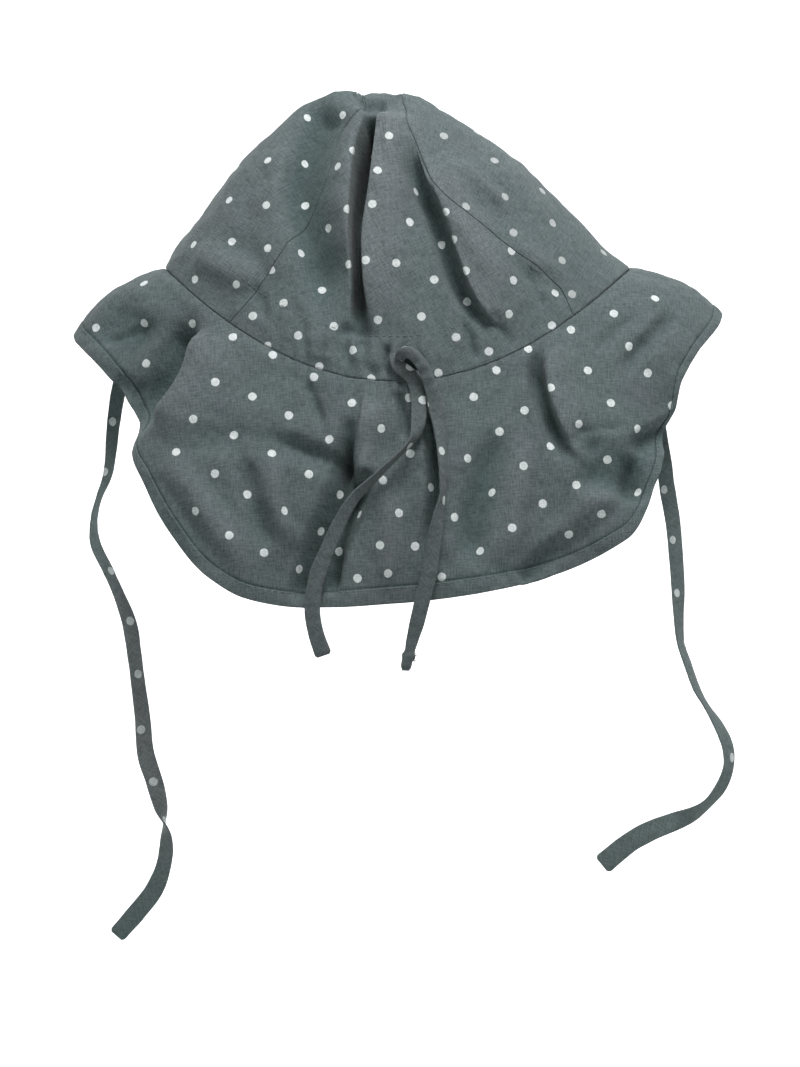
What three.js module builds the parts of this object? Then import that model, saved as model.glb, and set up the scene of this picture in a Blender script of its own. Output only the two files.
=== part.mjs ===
// A child's sun hat in linen, hanging by the top of its crown: three crown panels, a flared brim that falls
// at the back as a neck flap, two chin ties, and a drawstring that comes out of a casing at the back.
// Millimetres. +Z is up, the back of the hat faces -Y, and the origin is inside the top of the crown.
import * as THREE from "three";

// Driving sizes
const WALL = 1.5;
const HEM_WALL = 2.4;
const HEM_DEPTH = 8;
const SEAM_GAP = 0.3;
const CASING_DEPTH = 18;
const GATHER = { pitch: 14, depth: 1.1, halfWidth: 62 };
const CHIN_TIE = { width: 6.6, thickness: 1.8, steps: 48 };
const DRAWSTRING = { width: 5.8, thickness: 1.8, steps: 34 };
const KNOT = { width: 5.8, thickness: 2.4, steps: 14 };

// Crown sections from the top down. drop is how far the sides of the section lie below the top, left and
// right are its half widths, back and front its half depths, and the sags say how much lower its back and its
// front hang than its sides.
const CROWN_SECTIONS = [
  { drop: 0, left: 27, right: 11, back: 0, front: 0, backSag: 0, frontSag: 0 },
  { drop: 4, left: 40, right: 17, back: 10, front: 10, backSag: 1, frontSag: 1 },
  { drop: 14, left: 52, right: 33, back: 21, front: 21, backSag: 4, frontSag: 3 },
  { drop: 30, left: 70, right: 55, back: 33, front: 34, backSag: 11, frontSag: 7 },
  { drop: 50, left: 84, right: 76, back: 44, front: 45, backSag: 24, frontSag: 14 },
  { drop: 68, left: 98, right: 94, back: 52, front: 52, backSag: 41, frontSag: 22 },
  { drop: 78, left: 103.5, right: 105, back: 55, front: 55, backSag: 51.5, frontSag: 27 },
];
// How far from the middle the two panel seams cross each of those sections, at the back and at the front.
const PANEL_SEAMS = [
  { backLeft: -18, backRight: 5, frontLeft: -18, frontRight: 5 },
  { backLeft: -21, backRight: 6, frontLeft: -21, frontRight: 8 },
  { backLeft: -25, backRight: 9, frontLeft: -25, frontRight: 14 },
  { backLeft: -32, backRight: 19, frontLeft: -31, frontRight: 23 },
  { backLeft: -47, backRight: 46, frontLeft: -37, frontRight: 32 },
  { backLeft: -64, backRight: 73, frontLeft: -43, frontRight: 40 },
  { backLeft: -74, backRight: 84, frontLeft: -46, frontRight: 45 },
];
const RIM = CROWN_SECTIONS.length - 1;

// Brim sections round the rim, by the angle in degrees from the centre back towards the right of the back
// view. fall is the width of the brim along the line from FLARE_CENTRE, depth how far its edge lies in front
// of the rim, swing how many degrees the edge is turned outward from that line, and belly how far the middle
// of the brim bows out.
const FLARE_CENTRE = new THREE.Vector2(0, 2);
const BRIM_SECTIONS = [
  { angle: -180, fall: 23, depth: 40, swing: 0, belly: 4 },
  { angle: -150, fall: 28, depth: 36, swing: 0, belly: 4 },
  { angle: -120, fall: 38, depth: 22, swing: 0, belly: 4 },
  { angle: -90, fall: 48, depth: 2, swing: 0.5, belly: 4.5 },
  { angle: -70, fall: 50, depth: -1, swing: 0, belly: 4 },
  { angle: -57, fall: 53, depth: 6, swing: 0, belly: 3 },
  { angle: -50, fall: 58, depth: 9, swing: 0, belly: 3 },
  { angle: -47.6, fall: 63, depth: 4, swing: 0, belly: 3 },
  { angle: -46.5, fall: 71.5, depth: -3, swing: 0, belly: 3 },
  { angle: -42, fall: 80, depth: -12, swing: 0, belly: 3 },
  { angle: -34, fall: 94, depth: -18, swing: 0, belly: 3 },
  { angle: -26, fall: 105, depth: -21, swing: 0, belly: 3 },
  { angle: -16, fall: 106, depth: -14, swing: 0, belly: 3 },
  { angle: -8, fall: 102, depth: -20, swing: 0, belly: 3 },
  { angle: 0, fall: 99, depth: -13, swing: 0, belly: 3 },
  { angle: 10, fall: 97, depth: -20, swing: 0, belly: 3 },
  { angle: 25, fall: 98, depth: -11, swing: 0, belly: 3 },
  { angle: 34, fall: 98, depth: -18, swing: 0, belly: 3 },
  { angle: 40, fall: 90, depth: -15, swing: 0, belly: 3 },
  { angle: 46, fall: 76, depth: -8, swing: 0, belly: 3 },
  { angle: 52, fall: 65, depth: -2, swing: 0.5, belly: 4 },
  { angle: 60, fall: 54, depth: -5, swing: 1, belly: 5 },
  { angle: 70, fall: 49, depth: -3, swing: 2, belly: 6 },
  { angle: 90, fall: 47, depth: 2, swing: 3, belly: 7 },
  { angle: 120, fall: 38, depth: 22, swing: 0, belly: 4 },
  { angle: 150, fall: 28, depth: 36, swing: 0, belly: 4 },
  { angle: 180, fall: 23, depth: 40, swing: 0, belly: 4 },
];

// Folds of the back, as seen from behind: three places along each fold (x across, z up), how far it reaches
// to its left and right, and how far the cloth stands out there, negative in a valley.
const CROWN_FOLDS = [
  { name: "centre crevice", x: [-6, -14, -17], z: [-12, -55, -106], left: 8, right: 6, out: -13 },
  { name: "left of crevice", x: [-23, -21, -22], z: [-22, -55, -96], left: 10, right: 6, out: 3.5 },
  { name: "right of crevice", x: [4, -4, -6], z: [-20, -55, -100], left: 6, right: 13, out: 3.5 },
  { name: "right overlap", x: [6, 22, 44], z: [-22, -62, -99], left: 5, right: 24, out: 5 },
  { name: "under right overlap", x: [1, 14, 34], z: [-26, -66, -102], left: 13, right: 6, out: -6 },
  { name: "left hollow", x: [-34, -46, -60], z: [-30, -58, -84], left: 15, right: 13, out: -4.5 },
  { name: "right shoulder", x: [36, 58, 74], z: [-27, -50, -70], left: 12, right: 12, out: 2.5 },
  { name: "right side hollow", x: [40, 62, 80], z: [-45, -64, -82], left: 9, right: 9, out: -3 },
];
const BRIM_FOLDS = [
  { name: "left overlap", x: [-86, -97, -110], z: [-106, -128, -152], left: 5, right: 26, out: 6 },
  { name: "under left overlap", x: [-94, -106, -118], z: [-106, -126, -148], left: 16, right: 6, out: -6 },
  { name: "left soft valley", x: [-40, -35, -14], z: [-128, -150, -176], left: 13, right: 12, out: -5 },
  { name: "centre ridge", x: [-15, -17, -16], z: [-131, -156, -180], left: 12, right: 6, out: 4.5 },
  { name: "level dent", x: [-96, -76, -54], z: [-146, -150, -153], left: 9, right: 9, out: -2.5 },
  { name: "left hem wave", x: [-60, -68, -78], z: [-160, -190, -212], left: 16, right: 16, out: 4 },
  { name: "right valley", x: [62, 67, 78], z: [-112, -134, -162], left: 12, right: 6, out: -7 },
  { name: "right corner valley", x: [128, 107, 86], z: [-98, -123, -146], left: 12, right: 12, out: -6 },
  { name: "right pinch", x: [126, 116, 104], z: [-146, -146, -145], left: 7, right: 7, out: -4 },
  { name: "right hem wave", x: [92, 76, 60], z: [-168, -190, -218], left: 15, right: 15, out: -4 },
  { name: "back hem wave", x: [12, 14, 16], z: [-150, -190, -226], left: 12, right: 14, out: 3.5 },
];

// Routes of the ties and the drawstring, from where each is sewn on or comes out to its free end.
const ROUTES = {
  chin_tie_left: [
    [-101.2, 3.1, -82.5], [-111, 6, -98], [-119, 4, -114], [-124, 1, -130], [-126.5, -1, -147],
    [-128.5, -2, -169], [-133, -3, -181], [-135.5, -3, -191], [-135, -3, -202], [-129, -4, -214],
    [-124, -4, -225.5], [-119.5, -4, -238], [-117.5, -4, -252], [-115.5, -4, -266], [-113.5, -4, -280],
    [-112, -4, -296], [-107.5, -4, -309], [-104.5, -4, -321], [-103, -4, -333], [-104, -4, -345],
    [-108.5, -4, -357], [-116, -4, -367], [-124, -4, -376.5],
  ],
  chin_tie_right: [
    [102.2, 3.1, -81.5], [108, 5, -100], [113, 3, -120], [117.5, 0, -141], [121, -3, -160], [122.5, -4, -177],
    [125, -4, -192], [126.5, -4, -206], [127.5, -4, -221], [128, -4, -234], [129, -4, -246], [132, -4, -256],
    [136, -4, -267], [140.5, -4, -275], [146, -4, -284], [149.5, -4, -293], [150, -4, -302],
    [147.5, -4, -311], [142, -4, -319], [134.5, -4, -324], [125, -4, -327.5], [115, -4, -331.5],
    [105, -4, -337], [95, -4, -345],
  ],
  drawstring_knot: [
    [-0.5, -56, -117], [3, -56.5, -114.8], [7, -56.9, -115], [11, -57.1, -118], [13.6, -57.2, -122.5],
    [15, -57.3, -127.4],
  ],
  drawstring_left: [
    [3.5, -57.2, -124], [5.6, -57.4, -129.5], [9, -59.3, -137], [10.6, -61.4, -145], [9.4, -63.4, -152],
    [5, -65.3, -158.8], [-2.7, -67, -166.5], [-11, -68.9, -174.6], [-18, -70.2, -181.5],
    [-24.4, -71.7, -191.7], [-30.6, -72.9, -204.8], [-35.4, -73.6, -217], [-37.7, -74.2, -230],
    [-37, -74.6, -241], [-33.8, -74.6, -251],
  ],
  drawstring_right: [
    [15.1, -57.4, -127.8], [17.2, -59, -135], [18.8, -61, -142], [19.8, -63.4, -150], [20.6, -66.8, -160],
    [21.2, -70.4, -171], [20.8, -72.3, -181], [19.2, -73.8, -190], [17.1, -75, -202.5], [15.2, -75.6, -215],
    [12.6, -75.6, -226], [10.4, -75.4, -236], [7.2, -75, -248.5], [5.8, -75, -256],
  ],
};

const CROWN_ROWS = 15;
const CENTRE_COLUMNS = 26;
const SIDE_COLUMNS = 7;
const BRIM_ROWS = 11;
const BACK_COLUMNS = 26;
const FRONT_COLUMNS = 9;
const FRONT_SEAM_ANGLE = 0.09;

const LINEN = new THREE.Color("#616d6c");
const LINEN_DARK = new THREE.Color("#525d5d");
const DEGREE = Math.PI / 180;
const STEP = 1e-3;

// A smooth curve through one column of a table at evenly numbered rows. Past the first row the column goes on
// as its own mirror image, turned over where sign is -1.
function smoothColumn(rows, name, place, sign) {
  const value = (k) => (k < 0 ? sign * rows[-k][name] : rows[Math.min(k, rows.length - 1)][name]);
  const k = Math.min(Math.floor(place), rows.length - 2);
  const f = place - k;
  const start = value(k);
  const end = value(k + 1);
  const startSlope = (end - value(k - 1)) / 2;
  const last = k + 2 > rows.length - 1;
  const endSlope = last ? end - start : (value(k + 2) - start) / 2;
  return hermite(start, end, startSlope, endSlope, f);
}

function hermite(start, end, startSlope, endSlope, f) {
  const f2 = f * f;
  const f3 = f2 * f;
  return (2 * f3 - 3 * f2 + 1) * start + (f3 - 2 * f2 + f) * startSlope
    + (3 * f2 - 2 * f3) * end + (f3 - f2) * endSlope;
}

// The brim table's column at an angle in degrees, smooth all round and with no overshoot between rows.
function brimColumn(name, angle) {
  const rows = BRIM_SECTIONS;
  const count = rows.length - 1;
  let k = rows.findIndex((row) => row.angle > angle) - 1;
  k = k < 0 ? count - 1 : k;
  const slopeOf = (i) => {
    const row = ((i % count) + count) % count;
    return (rows[row + 1][name] - rows[row][name]) / (rows[row + 1].angle - rows[row].angle);
  };
  const slopeAt = (i) => {
    const before = slopeOf(i - 1);
    const after = slopeOf(i);
    return before * after <= 0 ? 0 : (2 * before * after) / (before + after);
  };
  const width = rows[k + 1].angle - rows[k].angle;
  const f = (angle - rows[k].angle) / width;
  return hermite(rows[k][name], rows[k + 1][name], slopeAt(k) * width, slopeAt(k + 1) * width, f);
}

// One fold as a function of a place seen from behind: how far it moves the cloth out there.
function foldReach(fold) {
  const [start, middle, end] = fold.x.map((x, i) => new THREE.Vector2(x, fold.z[i]));
  const control = middle.clone().multiplyScalar(2).sub(start.clone().add(end).multiplyScalar(0.5));
  const SAMPLES = 14;
  const line = new THREE.QuadraticBezierCurve(start, control, end).getPoints(SAMPLES);
  const FADE = 0.3;
  return (x, z) => {
    let nearest = Infinity;
    let along = 0;
    let side = 0;
    for (let i = 0; i < SAMPLES; i += 1) {
      const dx = line[i + 1].x - line[i].x;
      const dz = line[i + 1].y - line[i].y;
      const length = Math.hypot(dx, dz);
      const share = ((x - line[i].x) * dx + (z - line[i].y) * dz) / (length * length);
      const f = THREE.MathUtils.clamp(share, 0, 1);
      const ox = x - line[i].x - f * dx;
      const oz = z - line[i].y - f * dz;
      const distance = Math.hypot(ox, oz);
      if (distance < nearest) {
        nearest = distance;
        along = (i + f) / SAMPLES;
        side = dx * oz - dz * ox;
      }
    }
    const reach = side > 0 ? fold.right : fold.left;
    const across = Math.max(0, 1 - (nearest / reach) ** 2) ** 2;
    const started = THREE.MathUtils.smoothstep(along, 0, FADE);
    const ended = THREE.MathUtils.smoothstep(1 - along, 0, FADE);
    return fold.out * across * started * ended;
  };
}

const crownReaches = CROWN_FOLDS.map(foldReach);
const brimReaches = BRIM_FOLDS.map(foldReach);

// The pull of the drawstring: small upright gathers round the back of the rim, strongest on the rim itself.
function gathers(x, fromRim) {
  const middle = Math.max(0, 1 - (x / GATHER.halfWidth) ** 2);
  const near = Math.max(0, 1 - Math.abs(fromRim) / (2 * CASING_DEPTH));
  return GATHER.depth * middle * near * Math.cos((2 * Math.PI * x) / GATHER.pitch);
}

// All columns of a table at a place between its rows. Past the top the half depths turn over, the rest don't.
function sectionAt(table, place) {
  const section = {};
  for (const name of Object.keys(table[0])) {
    const turnsOver = name === "back" || name === "front";
    section[name] = smoothColumn(table, name, place, turnsOver ? -1 : 1);
  }
  return section;
}

// The crown without its folds, at an angle in radians round it and a place in the section table.
function plainCrown(angle, place) {
  const s = sectionAt(CROWN_SECTIONS, Math.abs(place));
  const turned = place < 0 ? Math.PI - angle : angle;
  const across = Math.sin(turned);
  const facing = Math.cos(turned);
  const x = across * (across < 0 ? s.left : s.right);
  const y = -facing * (facing > 0 ? s.back : s.front);
  const z = -s.drop - facing * facing * (facing > 0 ? s.backSag : s.frontSag);
  return new THREE.Vector3(x, y, z);
}

function foldedCrown(angle, place) {
  const point = plainCrown(angle, place);
  const facing = Math.cos(angle);
  if (place <= 0 || facing <= 0) {
    return point;
  }
  const out = outward(plainCrown, angle, place);
  let reach = 0;
  for (const crownReach of crownReaches) {
    reach += crownReach(point.x, point.z);
  }
  const fromRim = point.z - plainCrown(angle, RIM).z;
  const atRim = THREE.MathUtils.smoothstep(fromRim, 0, CASING_DEPTH);
  reach = reach * atRim + gathers(point.x, fromRim);
  return point.addScaledVector(out, reach * THREE.MathUtils.smoothstep(facing, 0, 0.4));
}

// The brim at an angle in radians from the centre back, and from 0 at the rim to 1 at the hem.
function plainBrim(angle, along) {
  const rim = plainCrown(angle, RIM);
  const degrees = angle / DEGREE;
  const fall = brimColumn("fall", degrees);
  const depth = brimColumn("depth", degrees);
  const swing = brimColumn("swing", degrees) * Math.sign(angle) * DEGREE;
  const line = Math.atan2(rim.x - FLARE_CENTRE.x, FLARE_CENTRE.y - rim.z) + swing;
  const belly = brimColumn("belly", degrees) * Math.sin(Math.PI * along);
  const across = Math.sin(angle);
  const x = rim.x + along * fall * Math.sin(line) + belly * across * Math.cos(line);
  const y = rim.y + along * depth - belly * Math.cos(angle);
  const z = rim.z - along * fall * Math.cos(line) + belly * across * Math.sin(line);
  return new THREE.Vector3(x, y, z);
}

function foldedBrim(angle, along) {
  const point = plainBrim(angle, along);
  const facing = Math.cos(angle);
  if (facing <= 0) {
    return point;
  }
  const out = outward(plainBrim, angle, along);
  let reach = 0;
  for (const brimReach of brimReaches) {
    reach += brimReach(point.x, point.z);
  }
  const fromRim = along * brimColumn("fall", angle / DEGREE);
  reach = reach * THREE.MathUtils.smoothstep(fromRim, 0, CASING_DEPTH) + gathers(point.x, fromRim);
  return point.addScaledVector(out, reach * THREE.MathUtils.smoothstep(facing, 0, 0.3));
}

// The outward normal of a surface, from small steps round it and down it.
function outward(surface, angle, place) {
  if (surface !== plainBrim && surface !== foldedBrim && place === 0) {
    const across = Math.sin(angle);
    return new THREE.Vector3(across * Math.abs(across) ** 3, 0, 1).normalize();
  }
  const round = surface(angle + STEP, place).sub(surface(angle - STEP, place));
  const down = surface(angle, place + STEP).sub(surface(angle, place - STEP));
  return down.cross(round).normalize();
}

// A wall of cloth between an outer grid of points and its inner copy. A joined first row has no edge face.
function wallGeometry(grid, joinedFirstRow) {
  const rows = grid.length;
  const columns = grid[0].length;
  const positions = [];
  for (const layer of ["outer", "inner"]) {
    for (const spot of grid.flat()) {
      positions.push(...spot[layer].toArray());
    }
  }
  const index = [];
  const at = (i, j, layer) => layer * rows * columns + i * columns + j;
  const quad = (a, b, c, d) => index.push(a, b, c, a, c, d);
  for (let i = 0; i < rows - 1; i += 1) {
    for (let j = 0; j < columns - 1; j += 1) {
      quad(at(i, j, 0), at(i + 1, j, 0), at(i + 1, j + 1, 0), at(i, j + 1, 0));
      quad(at(i, j, 1), at(i, j + 1, 1), at(i + 1, j + 1, 1), at(i + 1, j, 1));
    }
  }
  for (let j = 0; j < columns - 1; j += 1) {
    if (!joinedFirstRow) {
      quad(at(0, j, 0), at(0, j + 1, 0), at(0, j + 1, 1), at(0, j, 1));
    }
    const e = rows - 1;
    quad(at(e, j, 0), at(e, j, 1), at(e, j + 1, 1), at(e, j + 1, 0));
  }
  for (let i = 0; i < rows - 1; i += 1) {
    const e = columns - 1;
    quad(at(i, 0, 0), at(i, 0, 1), at(i + 1, 0, 1), at(i + 1, 0, 0));
    quad(at(i, e, 0), at(i + 1, e, 0), at(i + 1, e, 1), at(i, e, 1));
  }
  const geometry = new THREE.BufferGeometry();
  geometry.setAttribute("position", new THREE.Float32BufferAttribute(positions, 3));
  geometry.setIndex(index);
  return geometry;
}

function clothSpot(surface, angle, place, thickness) {
  const outer = surface(angle, place);
  const inner = outer.clone().addScaledVector(outward(surface, angle, place), -thickness);
  return { outer, inner };
}

// Angles at which the panel seams cross a crown section, each set back by half the gap that seams keep.
function seamAngles(place) {
  const section = sectionAt(CROWN_SECTIONS, place);
  const seam = sectionAt(PANEL_SEAMS, place);
  const half = SEAM_GAP / 2;
  const angleOf = (x) => Math.asin(x / (x < 0 ? section.left : section.right));
  return {
    centreBack: [angleOf(seam.backLeft + half), angleOf(seam.backRight - half)],
    centreFront: [angleOf(seam.frontLeft + half), angleOf(seam.frontRight - half)],
    leftPanel: [angleOf(seam.backLeft - half), angleOf(seam.frontLeft - half)],
    rightPanel: [angleOf(seam.backRight + half), angleOf(seam.frontRight + half)],
  };
}

// The middle panel runs from the back rim over the top to the front rim.
function crownCentre() {
  const grid = [];
  for (let i = CROWN_ROWS; i >= -CROWN_ROWS; i -= 1) {
    const place = (RIM * Math.abs(i)) / CROWN_ROWS;
    const seams = seamAngles(place);
    const [from, to] = i >= 0 ? seams.centreBack : seams.centreFront;
    const row = [];
    for (let j = 0; j <= CENTRE_COLUMNS; j += 1) {
      const across = THREE.MathUtils.lerp(from, to, j / CENTRE_COLUMNS);
      row.push(clothSpot(foldedCrown, i >= 0 ? across : Math.PI - across, place, WALL));
    }
    grid.push(row.reverse());
  }
  return wallGeometry(grid, false);
}

// A side panel runs from its back seam round the side to its front seam. At the top its two halves meet.
function crownSide(panel, side) {
  const grid = [];
  for (let i = 0; i <= CROWN_ROWS; i += 1) {
    const place = (RIM * i) / CROWN_ROWS;
    const [back, front] = seamAngles(place)[panel];
    const row = [];
    for (let j = -SIDE_COLUMNS; j <= SIDE_COLUMNS; j += 1) {
      const f = Math.abs(j) / SIDE_COLUMNS;
      const across = THREE.MathUtils.lerp((side * Math.PI) / 2, j < 0 ? back : front, f);
      row.push(clothSpot(foldedCrown, j < 0 ? across : side * Math.PI - across, place, WALL));
    }
    grid.push(side > 0 ? row : row.reverse());
  }
  return wallGeometry(grid, true);
}

// The brim's columns stand closer together round the back than round the front, where its ends meet.
function brimDegrees(column) {
  const count = Math.abs(column);
  const back = (90 * Math.min(count, BACK_COLUMNS)) / BACK_COLUMNS;
  const front = ((90 - FRONT_SEAM_ANGLE) * Math.max(0, count - BACK_COLUMNS)) / FRONT_COLUMNS;
  return Math.sign(column) * (back + front);
}

function brim() {
  const half = BACK_COLUMNS + FRONT_COLUMNS;
  const grid = [];
  for (let i = 0; i <= BRIM_ROWS; i += 1) {
    const row = [];
    for (let j = -half; j <= half; j += 1) {
      const degrees = brimDegrees(j);
      const fall = brimColumn("fall", degrees);
      const toHem = THREE.MathUtils.lerp(SEAM_GAP, fall - HEM_DEPTH, i / (BRIM_ROWS - 1)) / fall;
      const inHem = i === BRIM_ROWS;
      row.push(clothSpot(foldedBrim, degrees * DEGREE, inHem ? 1 : toHem, inHem ? HEM_WALL : WALL));
    }
    grid.push(row);
  }
  return wallGeometry(grid, false);
}

// A flat sewn tube along its route, with eight sides.
function flatCord(route, size) {
  const w = size.width / 2;
  const t = size.thickness / 2;
  const ROUNDING = 0.75;
  const corners = [
    [t, -w * ROUNDING], [t, w * ROUNDING], [t / 2, w], [-t / 2, w],
    [-t, w * ROUNDING], [-t, -w * ROUNDING], [-t / 2, -w], [t / 2, -w],
  ];
  const section = new THREE.Shape(corners.map(([x, y]) => new THREE.Vector2(x, y)));
  const path = new THREE.CatmullRomCurve3(route.map((p) => new THREE.Vector3(...p)));
  return new THREE.ExtrudeGeometry(section, { steps: size.steps, extrudePath: path, bevelEnabled: false });
}

const hat = new THREE.Group();

function addPiece(name, geometry, color) {
  const material = new THREE.MeshStandardMaterial({ color, roughness: 0.92, metalness: 0 });
  const mesh = new THREE.Mesh(geometry, material);
  mesh.name = name;
  hat.add(mesh);
}

addPiece("crown_centre", crownCentre(), LINEN);
addPiece("crown_left", crownSide("leftPanel", -1), LINEN);
addPiece("crown_right", crownSide("rightPanel", 1), LINEN);
addPiece("brim", brim(), LINEN);
for (const [name, route] of Object.entries(ROUTES)) {
  const plainCord = name.startsWith("chin") ? CHIN_TIE : DRAWSTRING;
  addPiece(name, flatCord(route, name === "drawstring_knot" ? KNOT : plainCord), LINEN_DARK);
}

export default hat;
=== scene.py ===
import math

import bmesh
import bpy
import numpy as np
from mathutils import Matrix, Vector, noise


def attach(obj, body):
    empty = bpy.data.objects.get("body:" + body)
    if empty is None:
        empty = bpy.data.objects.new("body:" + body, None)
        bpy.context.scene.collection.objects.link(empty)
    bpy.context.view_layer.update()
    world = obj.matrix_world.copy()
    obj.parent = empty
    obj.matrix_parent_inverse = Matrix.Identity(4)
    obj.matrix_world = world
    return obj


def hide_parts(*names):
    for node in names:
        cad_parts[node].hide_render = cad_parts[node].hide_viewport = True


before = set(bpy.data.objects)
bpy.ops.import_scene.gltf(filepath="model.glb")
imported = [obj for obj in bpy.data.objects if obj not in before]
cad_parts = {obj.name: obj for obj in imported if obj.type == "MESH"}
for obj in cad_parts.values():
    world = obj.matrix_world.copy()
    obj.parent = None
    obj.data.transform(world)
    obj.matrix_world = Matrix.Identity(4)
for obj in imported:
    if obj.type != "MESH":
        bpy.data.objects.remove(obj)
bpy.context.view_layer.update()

MM = 0.001

# Camera: level, from behind, far away with a long lens. The photograph shows about 0.45 mm for each pixel.
PHOTO_ROWS = 1067
PIXEL = 0.4465
PHOTO_HEIGHT = PHOTO_ROWS * PIXEL * MM
PHOTO_CENTRE = Vector((2.25 * MM, -40.0 * MM, -197.3 * MM))
CAMERA_DISTANCE = 6.0
SENSOR_HEIGHT = 36.0


def make_camera():
    data = bpy.data.cameras.new("camera")
    data.sensor_fit = "VERTICAL"
    data.sensor_height = SENSOR_HEIGHT
    data.lens = SENSOR_HEIGHT * CAMERA_DISTANCE / PHOTO_HEIGHT
    camera = bpy.data.objects.new("camera", data)
    camera.location = PHOTO_CENTRE - Vector((0.0, CAMERA_DISTANCE, 0.0))
    camera.rotation_euler = (math.radians(90.0), 0.0, 0.0)
    bpy.context.collection.objects.link(camera)
    bpy.context.scene.camera = camera


make_camera()


def table(columns, *rows):
    """Rows with named columns."""
    return [dict(zip(columns.split(), row)) for row in rows]


# Sizes of the cloth
CLOTH = 0.7
DOT_PITCH = 19.0
DOT_RADIUS = 1.92
DOT_FIND = 1.5
DOT_WEIGHT_REACH = 1.1 * DOT_FIND
TUCKED_REACH = 3.2
CASING_DEPTH = 18.0
CASING_STITCH = 20.0
RIM_ROLL = 0.9
PANEL_ROLL = 0.45
TURN_IN = (1.2, 3.2)
BRIM_CUT_RADIUS = 118.0
GATHER = {"pitch": 8.5, "depth": 0.8, "half_width": 66.0, "sway": 0.45, "sway_length": 7.0}

# Crown sections from the top down, close to those of the solids: drop of the sides, half widths, half depths,
# and how much lower the back and the front hang than the sides.
CROWN_SECTIONS = table(
    "drop left right back front back_sag front_sag",
    (0, 27, 11, 0, 0, 0, 0),
    (4, 41.2, 17, 10, 10, 1, 1),
    (14, 53.2, 33, 21, 21, 4, 3),
    (30, 69.6, 55, 33, 34, 11, 7),
    (50, 84, 75.8, 44, 45, 24, 14),
    (68, 98, 93, 52, 52, 41, 22),
    (78, 103.5, 105.4, 55, 55, 51.5, 27),
)
# Where the two panel seams cross those sections, at the back and at the front.
PANEL_SEAMS = table(
    "back_left back_right front_left front_right",
    (-15, 3, -15, 3),
    (-14, 4, -19, 7),
    (-25.5, 8.5, -25, 14),
    (-32, 19, -31, 23),
    (-47, 46, -37, 32),
    (-64, 71.5, -43, 40),
    (-74, 80, -46, 45),
)
RIM = len(CROWN_SECTIONS) - 1
# How much higher the cloth stands along the crown's top, from left to right.
TOP_LOBES = table(
    "x rise",
    (-40, 0.8), (-33, 1.5), (-28, 2.0), (-21, 1.9), (-17, 1.2), (-14.5, -0.4), (-11, 0.7), (-5, 0.8),
    (0, -0.3), (4, 0.5), (9, -0.3), (14, -0.8), (20, 0.0),
)

# Brim sections by the angle from the centre back: width of the brim along the line from FLARE_CENTRE, how far
# its edge lies in front of the rim, how far the edge is turned outward, how far its middle bows out, and how
# wide its hem looks.
FLARE_CENTRE = (0.0, 2.0)
BRIM_SECTIONS = table(
    "angle fall depth swing belly hem",
    (-180, 23, 40, 0, 4, 6.5),
    (-150, 28, 36, 0, 4, 6.5),
    (-120, 38, 22, 0, 4, 6.5),
    (-90, 50.2, 5, 1.4, 6, 6.5),
    (-80, 52.2, 4.5, 0.7, 5.2, 6.4),
    (-70, 52, 4, 0, 4.5, 6.2),
    (-57, 54, 8, 0, 3, 6),
    (-50, 59, 9, 0, 3, 4.6),
    (-47.6, 64, 4, 0, 3, 4),
    (-46.5, 72.2, -3, 0, 3, 3.8),
    (-42, 80.3, -12, 0, 3, 5.4),
    (-34, 94, -18, 0, 3, 6.4),
    (-26, 104.7, -21, 0, 3, 6),
    (-21, 107.4, -18, 0, 3, 6.2),
    (-16, 106.4, -14, 0, 3, 6.6),
    (-8, 102.2, -20, 0, 3, 7.2),
    (0, 99, -13, 0, 3, 7.4),
    (10, 97.8, -20, 0, 3, 7.2),
    (25, 98.8, -11, 0, 3, 6),
    (34, 97.2, -18, 0, 3, 5.6),
    (40, 87.8, -15, 0, 3, 4.2),
    (46, 74.8, -8, 0, 3, 3.2),
    (52, 64.4, -2, 0.5, 4, 2.8),
    (60, 52.6, -5, 1, 5, 3.4),
    (70, 48.5, -3, 3.2, 5.5, 3.4),
    (80, 48.1, -0.5, 6.6, 5.4, 4),
    (90, 45.9, 2, 10.4, 5.2, 5),
    (120, 38, 22, 0, 4, 6.5),
    (150, 28, 36, 0, 4, 6.5),
    (180, 23, 40, 0, 4, 6.5),
)


def fold(x, z, left, right, out, lean=0.0, crisp=0.0, fade=(0.3, 0.3)):
    """One fold as seen from behind: places along it, how far it reaches to its left and right, how far the
    cloth stands out there, how far it leans over to the right, how crisp its edge is, and the shares of its
    length over which it fades in and out."""
    return {"x": x, "z": z, "left": left, "right": right, "out": out, "lean": lean, "crisp": crisp,
            "fade": fade}


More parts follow.
